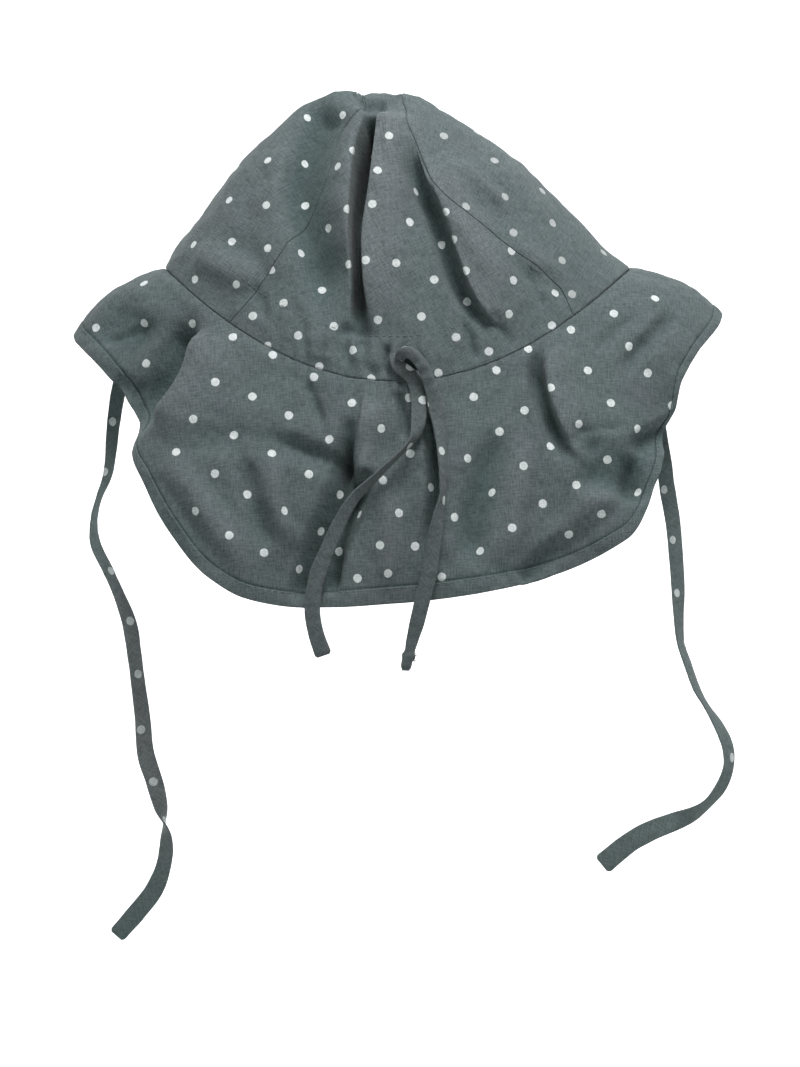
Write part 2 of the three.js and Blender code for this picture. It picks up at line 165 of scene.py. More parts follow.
CROWN_FOLDS = {
    "centre crevice": fold((-8, -14, -16.5, -18, -18, -16.5, -15.5), (-8, -27, -42, -56, -72, -90, -108),
        5.4, 5.4, -22, fade=(0.05, 0.22)),
    "upper crevice": fold((-8, -12, -14.5, -15.5), (-12, -27, -42, -60), 5.5, 6, -7),
    "left of crevice": fold((-20, -23, -24, -22.5, -22), (-8, -34, -60, -84, -110), 7, 5, 3.0, 2.6),
    "right of crevice": fold((-2, -4.2, -6.7, -9.4, -8.6, -8), (-7, -27, -46, -66, -90, -118), 4.5, 18,
        7, -4.9, fade=(0.08, 0.25)),
    "right overlap": fold((11, 17.5, 21.5, 26, 30.6, 34.7, 40, 47, 56),
        (-16, -33, -45, -55, -69, -81, -92, -101, -108), 4.5, 20, 4.2, -4.0, fade=(0.25, 0.2)),
    "under right overlap": fold((5, 9.6, 13.6, 18, 22.6, 26.7, 32, 39, 48),
        (-20, -33, -45, -55, -69, -81, -92, -101, -110), 7, 5, -7.8, fade=(0.22, 0.3)),
    "beside right overlap": fold((25, 34, 44, 52), (-48, -63, -79, -92), 6, 10, 2.2),
    "middle dent": fold((-2.5, -2.5, -2), (-12, -24, -38), 4, 4, -2.2),
    "middle ridge": fold((-3, -1, 2, 8), (-36, -46, -64, -92), 8, 8, 1.6),
    "left valley": fold((-29, -38, -43, -40, -34, -30), (-1, -22, -43, -62, -82, -106), 10, 17, -9,
        fade=(0.08, 0.25)),
    "left outer ridge": fold((-43, -51, -54, -48), (-10, -34, -58, -86), 12, 10, 2.2),
    "left shoulder": fold((-52, -66, -76), (-22, -44, -66), 16, 14, 1.5),
    "left crease": fold((-66, -60, -54), (-28, -35, -43), 5, 5, -1.0, 0.0, 0.6),
    "left low crease": fold((-80, -68, -54), (-60, -69, -84), 7, 7, -0.4, 0.0, 0.4),
    "left low ridge": fold((-94, -76, -58), (-72, -79, -86), 11, 11, 3.8),
    "right seam ridge": fold((7, 12, 22), (-8, -28, -48), 4, 5, 1.6, -1.0),
    "right seam valley": fold((30, 40, 52), (-40, -50, -63), 6, 6, -1.5),
    "right crease ridge": fold((26, 38, 56), (-30, -39, -59), 4.5, 4.5, 1.8, 0.0, 0.4),
    "right shoulder": fold((36, 58, 74), (-20, -46, -68), 10, 10, 1.4),
    "right low ridge": fold((52, 64, 80), (-66, -76, -84), 5, 5, 1.0),
    "right low valley": fold((50, 60, 78), (-72, -82, -92), 5, 5, -0.8),
    "top pinch": fold((-15, -9, -2), (-5, -6, -7), 4, 4, -4),
    "top left crease": fold((-19, -16.5, -12), (3, -2, -7), 3, 3, -2.5, 0.0, 0.5),
    "top right crease": fold((2, 0, -4), (3, -2, -7), 3, 3, -2, 0.0, 0.5),
}
CASING_FOLDS = {
    "foot of crevice": fold((-27, -18, -10), (-105, -107, -106), 4, 4, -2.6),
    "under crevice": fold((-15, -14, -15), (-98, -106, -120), 6, 6, -1.8),
    "left of casing slit": fold((-24, -23, -22), (-106, -112, -123), 3.5, 3.5, -1.4, 0.0, 0.5),
    "casing pleat": fold((-19, -18.5, -18), (-108, -113, -122), 2.6, 2.6, 1.6),
    "middle pleat": fold((-11, -9.5, -9), (-108, -117, -127), 3, 3.4, 1.5),
    "left of middle pleat": fold((-14.2, -13.8, -13.6), (-110, -118, -127), 1.6, 1.6, -1.4),
    "outer left crease": fold((-30, -32, -33), (-110, -117, -125), 3, 2.4, -1.6, 0.0, 0.5),
    "casing slit": fold((-2.6, -3.2, -2.4), (-113, -120, -129), 3.2, 1.2, -3.0, fade=(0.2, 0.2)),
    "under knot": fold((1, 7, 13), (-119, -121.5, -124), 6, 5.5, -7),
    "casing crease": fold((31, 34, 38), (-100, -112, -124), 3.5, 4.5, -3.3, 0.0, 0.8),
    "right pucker": fold((58, 63, 69), (-78, -88, -100), 4, 4, -1.5, 0.0, 0.8),
    "right middle pucker": fold((67, 71, 76), (-76, -85, -95), 3.5, 3.5, -1.3, 0.0, 0.8),
    "right far pucker": fold((76, 80, 86), (-72, -80, -90), 3.5, 3.5, -1.2, 0.0, 0.8),
    "middle pucker": fold((45, 48, 52), (-94, -104, -116), 4, 4, -2, 0.0, 0.8),
    "left pucker": fold((-44, -42, -41), (-94, -104, -117), 4, 4, -1.2, 0.0, 0.6),
    "left casing ridge": fold((-38, -34, -31), (-106, -114, -124), 7, 7, 1.5),
    "far left pucker": fold((-64, -60, -57), (-84, -94, -106), 5, 5, -1.6, 0.0, 0.4),
}
BRIM_FOLDS = {
    "left overlap": fold((-82.5, -83.2, -85.8, -89.9, -95.7, -101.5, -108),
        (-94, -107, -115, -126, -137, -145, -155), 4.5, 22, 5.2, -5.0, fade=(0.3, 0.2)),
    "under left overlap": fold((-90.5, -91.7, -94.7, -99.2, -105.2, -111, -117),
        (-94, -107, -115, -126, -137, -145, -155), 13, 4.5, -8.6, fade=(0.3, 0.35)),
    "shadow pocket": fold((-18, -23, -33, -42), (-150, -174, -200, -230), 9, 9, -12, fade=(0.25, 0.1)),
    "behind left end": fold((-11, -14, -20, -25, -28), (-168, -182, -196, -210, -226), 8, 3.4, -12.5,
        fade=(0.12, 0.15)),
    "centre bulge": fold((-11, -11.5, -13, -14.5, -13, -9), (-128, -143, -153, -161, -171, -180), 4.5,
        10, 4, -3.0, fade=(0.2, 0.25)),
    "between the ends": fold((14, 16.5, 18, 18, 15, 11.5), (-136, -152, -166, -184, -200, -216), 6, 3.5,
        -7, fade=(0.15, 0.4)),
    "left diagonal ridge": fold((-108, -84, -60), (-158, -188, -220), 9, 11, 4),
    "left edge valley": fold((-120, -103, -84), (-162, -192, -222), 7, 6, -1.2),
    "right valley": fold((63, 64.5, 69.5, 79), (-102, -128, -146, -168), 6.8, 4, -9, fade=(0.12, 0.35)),
    "right of right valley": fold((69, 70.5, 76, 86), (-102, -128, -146, -168), 4.5, 14, 3.5, -2.5,
        fade=(0.12, 0.35)),
    "right corner valley": fold((128, 113, 100), (-96, -112, -127), 6, 6, -3.2),
    "right diagonal ridge": fold((100, 84, 60), (-172, -188, -212), 10, 9, 2.6),
    "right low hollow": fold((78, 98, 122), (-170, -174, -176), 10, 22, -6),
    "right hem valley": fold((90, 72, 56), (-188, -204, -220), 8, 8, -4, fade=(0.7, 0.1)),
    "right soft valley": fold((47, 38, 32), (-148, -184, -216), 12, 8, -7.2),
    "right soft ridge": fold((59, 54, 48), (-146, -184, -214), 9, 9, 3.5),
    "back hem wave": fold((-3, -3, -4), (-172, -198, -228), 8, 10, 4),
}
BRIM_CREASES = {
    "level dent": fold((-103, -88, -71, -58, -46), (-154, -153.5, -154, -155, -158), 11, 7, -1.9, 0.0,
        0.1),
    "end of level dent": fold((-60, -47, -36, -26, -18), (-154, -157, -161, -166, -173), 10, 6, -4.2,
        0.0, 0.2, (0.3, 0.15)),
    "over level dent": fold((-98, -80, -62, -44), (-140, -140, -142, -147), 6, 12, 0.6),
    "left upright valley": fold((-69, -63, -56), (-158, -184, -206), 7, 7, -3.8),
    "left upright ridge": fold((-54, -53, -44), (-160, -184, -206), 7, 6, 3),
    "short crease": fold((-39, -36.5, -32), (-128, -137, -152), 4, 4, -3.2, 0.0, 0.5),
    "beside centre bulge": fold((-20, -20, -20), (-144, -158, -174), 6, 4, -4.4),
    "centre crease": fold((0, 4, 7), (-132, -144, -158), 5, 5, -4, 0.0, 0.7),
    "right blob": fold((80, 86, 93), (-150, -156, -160), 7, 7, -3),
    "right pinch": fold((134, 121, 102), (-144, -151, -161), 7, 11, -6.5),
    "under right pinch": fold((134, 123, 113), (-162, -168, -175), 5, 5, 1.6),
    "right level crease": fold((76, 90, 106), (-150, -151, -149), 4, 5, -1.8, 0.0, 0.7),
    "right oval": fold((109, 107, 104), (-160, -173, -186), 8, 7, -5),
    "right corner crease": fold((112, 100, 88), (-96, -106, -118), 6, 6, -1.5, 0.0, 0.5),
    "left corner crease": fold((-136, -120, -108), (-112, -108, -102), 5, 5, -1.8, 0.0, 0.5),
    "left corner dent": fold((-128, -120, -112), (-128, -132, -136), 7, 7, -2.5),
    "left corner hollow": fold((-134, -121, -108), (-96, -106, -116), 17, 17, -4.5),
}
FOLD_SAMPLES = 16
ROUTE_SAMPLES = 12
CREASE_FADE = 6.0

# Routes of the ties and the drawstring, close to those of the solids: the place, the width there and how many
# degrees the flat side is turned away from the back.
CHIN_TIE_LEFT = [
    (-101.2, 3.1, -82.5, 6.6, 0), (-111, 6, -98, 6.6, 0), (-118.4, 4, -114, 6.6, 0),
    (-123.6, 1, -130, 6.6, 0), (-126.4, -1, -147, 6.6, 28), (-128.7, -2, -169, 6.6, 52),
    (-132.9, -3, -181, 6.6, 70), (-135.2, -3, -191, 6.6, 66), (-134.5, -3, -202, 6.6, 48),
    (-128.8, -4, -214, 6.6, 46), (-123.7, -4, -225.5, 6.6, 42), (-119.2, -4, -238, 6.8, 14),
    (-117, -4, -252, 6.8, 18), (-115.2, -4, -266, 6.8, 16), (-113.4, -4, -280, 7.0, 0),
    (-112, -4, -296, 7.8, 0), (-108, -4, -309, 7.8, 0), (-105, -4, -321, 7.4, 40),
    (-102.8, -4, -333, 7.4, 130), (-103.6, -4, -345, 7.4, 156), (-108, -4, -357, 8.1, 180),
    (-115.6, -4, -367, 8.3, 180), (-125.2, -4, -378, 7.8, 180),
]
CHIN_TIE_RIGHT = [
    (102.2, 3.1, -81.5, 6.6, 0), (108, 5, -100, 6.6, 0), (113, 3, -120, 6.6, 0),
    (116.8, 0, -141, 6.8, 0), (120, -3, -160, 7.0, 0), (122.3, -4, -177, 7.2, 0),
    (124.8, -4, -192, 6.8, 6), (126.1, -4, -206, 6.6, 12), (127.1, -4, -221, 6.6, 22),
    (127.4, -4, -234, 6.6, 46), (128.3, -4, -246, 6.6, 60), (131.5, -4, -256, 6.6, 60),
    (135.5, -4, -267, 6.6, 63), (140, -4, -275, 6.6, 70), (145.6, -4, -284, 6.8, 50),
    (149.4, -4, -293, 6.8, 40), (149.8, -4, -302, 6.8, 46), (146.6, -4, -310.8, 7.0, 42),
    (140.6, -4, -318.4, 7.4, 56), (133.6, -4, -323.4, 8.0, 36), (125, -4, -326.9, 8.4, 0),
    (115, -4, -330.8, 9.0, 0), (105, -4, -336.4, 9.2, 0), (92.9, -4, -346.2, 9.6, 0),
]
# The drawstring's rows also hold its thickness, because it is bunched up in its half knot.
DRAWSTRING_LEFT = [
    (0.6, -50, -115.6, 3.4, 0, 2.0), (0.2, -55, -119, 5.4, 0, 3.0), (1.8, -57.2, -122.8, 6.2, 0, 3.0),
    (5.6, -57.8, -125.8, 6.2, 0, 2.8), (8.6, -58.6, -129.6, 6.6, 0, 2.6),
    (10.2, -60.2, -135.2, 6.9, 0, 2.2), (10.6, -62.6, -142.5, 6.8, 0, 1.9),
    (10.2, -65, -149, 6.4, 10, 1.7), (8.6, -67, -154.2, 6.0, 48, 1.6), (5, -68.8, -158.8, 6.0, 72, 1.6),
    (-2.7, -70.8, -166.5, 6.0, 70, 1.6), (-11, -72, -174.6, 6.2, 56, 1.6),
    (-18, -73, -181.5, 6.2, 40, 1.6), (-24.2, -74, -191.7, 6.4, 24, 1.6),
    (-30.2, -75, -204.8, 6.6, 6, 1.6), (-34.8, -75.6, -217, 7.2, 0, 1.7),
    (-36.7, -76.2, -230, 7.0, 0, 1.7), (-35.2, -76.6, -241, 7.0, 0, 1.7),
    (-31.6, -76.6, -251.6, 7.6, 0, 1.8),
]
DRAWSTRING_RIGHT = [
    (2.2, -55, -120.2, 4.4, 0, 2.8), (2.8, -59.4, -117.6, 5.0, 0, 3.6),
    (5.2, -61.4, -116.6, 5.4, 0, 4.2), (8.2, -62.4, -117.8, 5.4, 0, 4.2),
    (11.4, -63, -121.4, 5.4, 0, 4.0), (13.6, -63, -125.8, 5.4, 0, 3.6), (15.4, -63, -130.4, 5.6, 0, 3.2),
    (17, -63.2, -135.6, 6.2, 0, 2.8), (18.6, -64, -142, 7.2, 0, 2.5), (20, -66, -150, 6.8, 26, 2.2),
    (20.8, -69.4, -160, 6.4, 52, 1.9), (21.2, -73, -171, 6.4, 66, 1.7), (20.9, -75, -181, 6.4, 70, 1.6),
    (19.2, -76.4, -190, 6.6, 44, 1.6), (17.1, -77, -202.5, 6.6, 14, 1.6),
    (15.2, -77.4, -215, 6.9, 0, 1.7), (12.4, -77.4, -226, 7.0, 0, 1.7), (10, -77, -236, 6.6, 0, 1.7),
    (7.6, -76.6, -245, 5.4, 0, 1.8), (6.6, -76.6, -249.4, 4.6, 0, 2.2),
    (6.1, -76.6, -251.6, 6.4, 0, 3.2), (5.5, -76.6, -253.6, 5.0, 0, 2.8), (5, -76.6, -256, 4.8, 0, 2.8),
    (4.8, -76.6, -258.2, 3.8, 0, 2.2),
]
ROUTE_WIDTH = 3
ROUTE_TURN = 4
ROUTE_THICKNESS = 5
# No painted light or shade along a tie
NO_PAINTED_LIGHT = {"from_top": (0, 400), "share": (0, 0)}
# Facts of each tie. Its dots are places across and up seen from behind. Its painted light and shade goes by
# the distance from the top, as shares from -1 for painted shade to 1 for painted light.
CORDS = {
    "chin_tie_left": {
        "route": CHIN_TIE_LEFT, "nodes": ["chin_tie_left"], "length": 0.314, "width": 6.6,
        "far_end": "bare", "frayed": [], "dot_squeeze": 1.1,
        "strength_along": {"from_top": (200, 230, 325, 350, 375), "share": (-0.9, 1, 1, -0.7, -1)},
        "dots": [(-127.2, -147.2), (-130.5, -169.5), (-128, -214), (-119.2, -236.2), (-115.6, -260.6),
                 (-113.9, -285.8), (-108.5, -308.7), (-104.4, -326)],
    },
    "chin_tie_right": {
        "route": CHIN_TIE_RIGHT, "nodes": ["chin_tie_right"], "length": 0.303, "width": 6.6,
        "far_end": "bare", "frayed": [], "dot_squeeze": 1.45,
        "strength_along": {"from_top": (300, 340), "share": (-0.5, -0.7)},
        "dots": [(121, -177.3), (124.7, -200.5), (126.4, -224), (130, -247), (151, -298.4)],
    },
    "drawstring_left": {
        "route": DRAWSTRING_LEFT, "nodes": ["drawstring_left"], "length": 0.161, "width": 6.0,
        "far_end": "bare", "frayed": [], "dot_squeeze": 1.0, "strength_along": NO_PAINTED_LIGHT,
        "dots": [(4.2, -119.8), (7.4, -123.4), (12.4, -138.2), (6.3, -158)],
    },
    "drawstring_right": {
        "route": DRAWSTRING_RIGHT, "nodes": ["drawstring_knot", "drawstring_right"], "length": 0.158,
        "width": 6.0, "far_end": "knot", "frayed": ["drawstring_fray"], "dot_squeeze": 1.0,
        "strength_along": NO_PAINTED_LIGHT,
        "dots": [(3.2, -112.0), (13.6, -140), (20.2, -161), (21.4, -182.3)],
    },
}
TIE_END = 1.8
TIE_THICKNESS = 1.3
TIE_STEP = 1.0
TIE_SIDES = 18
THREAD_SIDES = 6
# A tie's section: how blunt its edges and sides are, its stitched groove, what is left of it at its ends, and
# how its width sways and its thickness is lumpy along it.
TIE_BLUNT = {"wide": 0.55, "thick": 0.75}
TIE_GROOVE = {"at": 0.58, "width": 0.13, "depth": 0.6}
TIE_END_SHARE = {"wide": 0.72, "thick": 0.25}
TIE_SWAY = {"waves": 0.12, "share": 0.06}
TIE_LUMPS = {"waves": 0.35, "share": 0.35}
DOT_CELL = 0.45

# Colours, linear
LINEN_LIGHT = (0.158, 0.188, 0.191, 1.0)
LINEN_DARK = (0.074, 0.099, 0.099, 1.0)
TIE_LIGHT = (0.146, 0.166, 0.168, 1.0)
TIE_DARK = (0.076, 0.093, 0.094, 1.0)
# The chin ties' linen is the ties' linen painted much lighter: painted light, as if lit from the front
CHIN_TIE_PAINTED_LIGHT_PALE = (0.252, 0.283, 0.283, 1.0)
CHIN_TIE_PAINTED_LIGHT_DEEP = (0.134, 0.163, 0.162, 1.0)
LINEN_WARM = (0.152, 0.158, 0.172, 1.0)
# Tints of painted shade in folds and of painted light on ridges
FOLD_PAINTED_SHADE = (0.72, 0.82, 0.81, 1.0)
RIDGE_PAINTED_LIGHT = (1.20, 1.12, 1.15, 1.0)
DOT_LIGHT = (0.74, 0.77, 0.77, 1.0)
DOT_DARK = (0.54, 0.58, 0.58, 1.0)
THREAD = (0.20, 0.225, 0.22, 1.0)
# The cloth's pattern, in waves for each metre: threads of the weave, grain, faded patches, crumples and the
# rough edge of the printed dots.
WEAVE_TURN = math.radians(45.0)
WARP_WAVES = (1500.0, 230.0, 1.0)
WEFT_WAVES = (240.0, 1400.0, 1.0)
GRAIN_WAVES = 1900.0
GRAIN_SHARE = 0.35
PATCH_WAVES = 32.0
PATCH_SHARE = 0.55
CRUMPLE_WAVES = 160.0
EDGE_WAVES = 520.0
EDGE_REACH = 0.4 * MM
DOT_EDGE = (1.07, 0.93)
HALF_STEP = (0.5, 0.5, 0.0)
CLOTH_BUMP = {"strength": 0.55, "depth": 0.6 * MM, "threads": 0.5, "crumples": 1.1}
# Ranges that turn the pattern into shares, colours, painted light and shade, and roughness: from low to high,
# and what they become
TONE = (0.47, 0.88)
PATCH = (0.48, 0.72, 0.0, PATCH_SHARE)
PAINTED_TINT_RANGE = (-1.0, 1.0)
SHADE = (-2.6, -0.9, 0.5, 1.0)
PRINT = (0.35, 0.65)
ROUGH = (0.3, 0.7, 0.95, 0.82)
NO_DOTS = (0.4, 0.6, 1.0, 0.0)
TWIST = (0.3, 0.7)
SPECULAR = 0.22
SHEEN = {"Sheen Weight": 0.10, "Sheen Roughness": 0.6}
TWIST_WAVES = 900.0
TWIST_BUMP = {"strength": 0.4, "depth": 0.1 * MM}
# Names of the coordinates and values that the meshes carry
CLOTH_UV = "cloth"
DOT_UV = "dots"
# The amount of painted light and shade at each point
PAINTED_LIGHT_AND_SHADE = "relief"
BARE = "bare"
# Rows of dots are eased to where they are seen: in full within EASE_START steps of a seen dot, then less and
# less over EASE_REACH steps, with EASE_FLOOR as slack. Places within SAME_PLACE count as one.
EASE_START = 1.5
EASE_REACH = 3.0
EASE_FLOOR = 0.15
SAME_PLACE = 1.0
LEAST_RUN = 0.05
LEAST_FACING = 0.2
# The share of the folds' depth in the copy that is unwrapped, the distance over which rows of dots turn at a
# line, and the depth of cloth that gives 1 of painted light and shade.
SHALLOW = 0.4
TURNING = 3.0
RELIEF_DEPTH = 6.0


class Nodes:
    """Small helper that adds nodes to one material and links them."""

    def __init__(self, name):
        self.material = bpy.data.materials.new(name)
        self.material.use_nodes = True
        self.tree = self.material.node_tree
        self.shader = self.tree.nodes["Principled BSDF"]

    def add(self, kind, inputs=(), **settings):
        node = self.tree.nodes.new(kind)
        for key, value in settings.items():
            setattr(node, key, value)
        for key, value in dict(inputs).items():
            self.put(node.inputs[key], value)
        return node.outputs

    def put(self, socket, value):
        if isinstance(value, bpy.types.NodeSocket):
            self.tree.links.new(value, socket)
        else:
            socket.default_value = value

    def math(self, operation, a, b=0.0):
        return self.add("ShaderNodeMath", {0: a, 1: b}, operation=operation)[0]

    def vector(self, operation, a, b=(0.0, 0.0, 0.0)):
        return self.add("ShaderNodeVectorMath", {0: a, 1: b}, operation=operation)

    def scale(self, vector, factor):
        return self.add("ShaderNodeVectorMath", {"Vector": vector, "Scale": factor}, operation="SCALE")[0]

    def noise(self, vector, scale, detail=2.0, roughness=0.5):
        values = {"Vector": vector, "Scale": scale, "Detail": detail, "Roughness": roughness}
        return self.add("ShaderNodeTexNoise", values, noise_dimensions="2D")[0]

    def range(self, value, low, high, to_low=0.0, to_high=1.0, smooth=False):
        kind = "SMOOTHSTEP" if smooth else "LINEAR"
        values = {0: value, 1: low, 2: high, 3: to_low, 4: to_high}
        return self.add("ShaderNodeMapRange", values, interpolation_type=kind)[0]

    def mix(self, share, a, b):
        node = self.tree.nodes.new("ShaderNodeMix")
        node.data_type = "RGBA"
        self.put(node.inputs[0], share)
        self.put(node.inputs[6], a)
        self.put(node.inputs[7], b)
        return node.outputs[2]

    def bump(self, height, fact):
        values = {"Strength": fact["strength"], "Distance": fact["depth"], "Height": height}
        self.put(self.shader.inputs["Normal"], self.add("ShaderNodeBump", values)[0])


def weave(n, uv):
    """Slubbed threads of a plain weave that lies at a slant to the flat coordinates."""
    slant = n.add("ShaderNodeVectorRotate", {"Vector": uv, "Angle": WEAVE_TURN}, rotation_type="Z_AXIS")[0]
    warp = n.noise(n.vector("MULTIPLY", slant, WARP_WAVES)[0], 1.0)
    weft = n.noise(n.vector("MULTIPLY", slant, WEFT_WAVES)[0], 1.0)
    return n.math("MULTIPLY", n.math("ADD", warp, weft), 0.5)


def cloth_colour(n, uv, threads, light, dark):
    """Linen with uneven threads and faded patches, with painted shade that makes it greener and darker in its
    folds and painted light that makes it pale on its ridges.
    """
    # Painted light and shade from how far the cloth stands out: tinted and darker in folds, paler on ridges
    relief = n.add("ShaderNodeAttribute", attribute_name=PAINTED_LIGHT_AND_SHADE)["Fac"]
    grain = n.math("MULTIPLY", n.noise(uv, GRAIN_WAVES, 1.0), GRAIN_SHARE)
    tone = n.range(n.math("ADD", threads, grain), *TONE)
    patch = n.range(n.noise(uv, PATCH_WAVES, 3.0), *PATCH)
    cloth = n.mix(patch, n.mix(tone, dark, light), n.mix(tone, dark, LINEN_WARM))
    painted_tint = n.mix(n.range(relief, *PAINTED_TINT_RANGE), FOLD_PAINTED_SHADE, RIDGE_PAINTED_LIGHT)
    shade = n.range(relief, *SHADE)
    return n.scale(n.vector("MULTIPLY", cloth, painted_tint)[0], shade)


def dot_mask(n, uv, size, dot_share):
    """Where the printed dots are, with a slightly rough edge and none on the hem."""
    place = n.add("ShaderNodeUVMap", uv_map=DOT_UV)[0]
    wobble = n.add("ShaderNodeTexNoise", {"Vector": uv, "Scale": EDGE_WAVES, "Detail": 1.0},
                   noise_dimensions="2D")[1]
    rough_edge = n.scale(n.vector("SUBTRACT", wobble, (0.5, 0.5, 0.5))[0], EDGE_REACH)
    steps = n.scale(n.vector("ADD", place, rough_edge)[0], 1.0 / (DOT_PITCH * MM))
    cell = n.vector("FRACTION", n.vector("ADD", steps, HALF_STEP)[0])[0]
    flat = n.vector("MULTIPLY", n.vector("SUBTRACT", cell, HALF_STEP)[0], (1.0, 1.0, 0.0))[0]
    outer, inner = (size / DOT_PITCH * edge for edge in DOT_EDGE)
    mask = n.range(n.vector("LENGTH", flat)[1], outer, inner, 0.0, dot_share, smooth=True)
    bare = n.add("ShaderNodeAttribute", attribute_name=BARE)["Fac"]
    return n.math("MULTIPLY", mask, n.range(bare, *NO_DOTS))


def linen(name, dot_share, light=LINEN_LIGHT, dark=LINEN_DARK, dot_painted_light=1.0, size=DOT_RADIUS):
    """Plain-weave linen with printed dots, laid out on the cloth's own flat coordinates."""
    n = Nodes(name)
    uv = n.add("ShaderNodeUVMap", uv_map=CLOTH_UV)[0]
    threads = weave(n, uv)
    cloth = cloth_colour(n, uv, threads, light, dark)
    # The print's colour, scaled by a factor that stands in for light and shade on the dots
    print_colour = n.scale(n.mix(n.range(threads, *PRINT), DOT_DARK, DOT_LIGHT), dot_painted_light)
    n.put(n.shader.inputs["Base Color"], n.mix(dot_mask(n, uv, size, dot_share), cloth, print_colour))
    n.put(n.shader.inputs["Roughness"], n.range(threads, *ROUGH))
    n.put(n.shader.inputs["Specular IOR Level"], SPECULAR)
    for name_of_input, value in SHEEN.items():
        n.put(n.shader.inputs[name_of_input], value)
    crumples = n.math("MULTIPLY", n.noise(uv, CRUMPLE_WAVES, 3.0), CLOTH_BUMP["crumples"])
    height = n.math("ADD", n.math("MULTIPLY", threads, CLOTH_BUMP["threads"]), crumples)
    n.bump(height, CLOTH_BUMP)
    return n.material


def thread_material():
    n = Nodes("thread")
    place = n.add("ShaderNodeTexCoord")["Object"]
    twist = n.add("ShaderNodeTexNoise", {"Vector": place, "Scale": TWIST_WAVES, "Detail": 1.0})[0]
    n.put(n.shader.inputs["Base Color"], n.mix(n.range(twist, *TWIST), LINEN_LIGHT, THREAD))
    n.put(n.shader.inputs["Roughness"], 0.8)
    n.bump(twist, TWIST_BUMP)
    return n.material


# Each panel's dots get their own brightness factor: painted light and shade on the print
OUTSIDE = {
    "crown_centre": linen("linen_centre", 1.0),
    "crown_left": linen("linen_left", 1.0, dot_painted_light=1.1, size=1.8),
    "crown_right": linen("linen_right", 1.0, dot_painted_light=0.68),
    "brim": linen("linen_brim", 1.0, dot_painted_light=1.12),
}
INSIDE = linen("linen_inside", 0.28)
TIE = linen("tie_linen", 1.0, TIE_LIGHT, TIE_DARK)
# Tie linen with painted light for the chin ties
CHIN_TIE_PAINTED_LIGHT = linen("chin_tie_linen_painted_light", 1.0, CHIN_TIE_PAINTED_LIGHT_PALE, CHIN_TIE_PAINTED_LIGHT_DEEP, dot_painted_light=1.15)
STITCH = thread_material()


def add_mesh(name, points, faces, materials, uv=None):
    """A smooth mesh object from points in millimetres, with flat coordinates for each corner of its faces."""
    mesh = bpy.data.meshes.new(name)
    mesh.from_pydata((np.asarray(points) * MM).tolist(), [], [tuple(face) for face in faces])
    for material in materials:
        mesh.materials.append(material)
    mesh.polygons.foreach_set("use_smooth", np.ones(len(mesh.polygons), bool))
    if uv is not None:
        layer = mesh.uv_layers.new(name=CLOTH_UV)
        layer.data.foreach_set("uv", (np.asarray(uv) * MM).ravel())
    mesh.update()
    piece = bpy.data.objects.new(name, mesh)
    bpy.context.collection.objects.link(piece)
    return piece


def hermite(start, end, start_slope, end_slope, f):
    f2 = f * f
    f3 = f2 * f
    return ((2 * f3 - 3 * f2 + 1) * start + (f3 - 2 * f2 + f) * start_slope
            + (3 * f2 - 2 * f3) * end + (f3 - f2) * end_slope)


def unit(vectors):
    return vectors / np.maximum(np.linalg.norm(vectors, axis=-1, keepdims=True), 1e-9)


def with_ends(rows):
    """The rows of a table with one more at each end, in line with the last two there."""
    return np.vstack([2 * rows[:1] - rows[1:2], rows, 2 * rows[-1:] - rows[-2:-1]])


def run_along(points):
    """How far each place of a line lies from its start."""
    return np.concatenate([[0.0], np.cumsum(np.linalg.norm(np.diff(points, axis=0), axis=1))])


def smooth_route(rows, step):
    """Evenly spaced places on a smooth curve through the rows of a table, with all its columns."""
    rows = np.asarray(rows, float)
    ends = with_ends(rows)
    f = np.linspace(0.0, 1.0, ROUTE_SAMPLES + 1)[:-1, None]
    fine = []
    for a, b, c, d in zip(ends[:-3], ends[1:-2], ends[2:-1], ends[3:]):
        fine.append(hermite(b, c, (c - a) / 2, (d - b) / 2, f))
    fine = np.vstack(fine + [rows[-1:]])
    run = run_along(fine[:, :3])
    places = np.linspace(0.0, run[-1], max(2, int(round(run[-1] / step)) + 1))
    even = np.stack([np.interp(places, run, fine[:, k]) for k in range(rows.shape[1])], axis=1)
    return places, even


def tie_dots(dots, run, centre, side):
    """Where the dots lie along a tie and across it."""
    places = []
    for x, z in dots:
        away = np.array([x, z]) - centre[:, [0, 2]]
        k = int(np.linalg.norm(away, axis=1).argmin())
        flat_side = side[k, [0, 2]]
        places.append((run[k], float(away[k] @ flat_side / max(flat_side @ flat_side, LEAST_FACING))))
    return np.array(places)


def add_thread(verts, faces, centre, out, across, fat):
    """Adds one closed thread: places along it, its two directions across there, and its half thicknesses."""
    base = len(verts)
    last = (len(centre) - 1) * THREAD_SIDES
    for k, middle in enumerate(centre):
        for s in range(THREAD_SIDES):
            turn = 2 * math.pi * s / THREAD_SIDES
            verts.append(middle + out[k] * fat[k] * math.sin(turn) + across[k] * fat[k] * math.cos(turn))
    for ring in range(base, base + last, THREAD_SIDES):
        for s in range(THREAD_SIDES):
            after = (s + 1) % THREAD_SIDES
            faces.append((ring + s, ring + after, ring + THREAD_SIDES + after, ring + THREAD_SIDES + s))
    faces.append(tuple(base + s for s in reversed(range(THREAD_SIDES))))
    faces.append(tuple(base + last + s for s in range(THREAD_SIDES)))


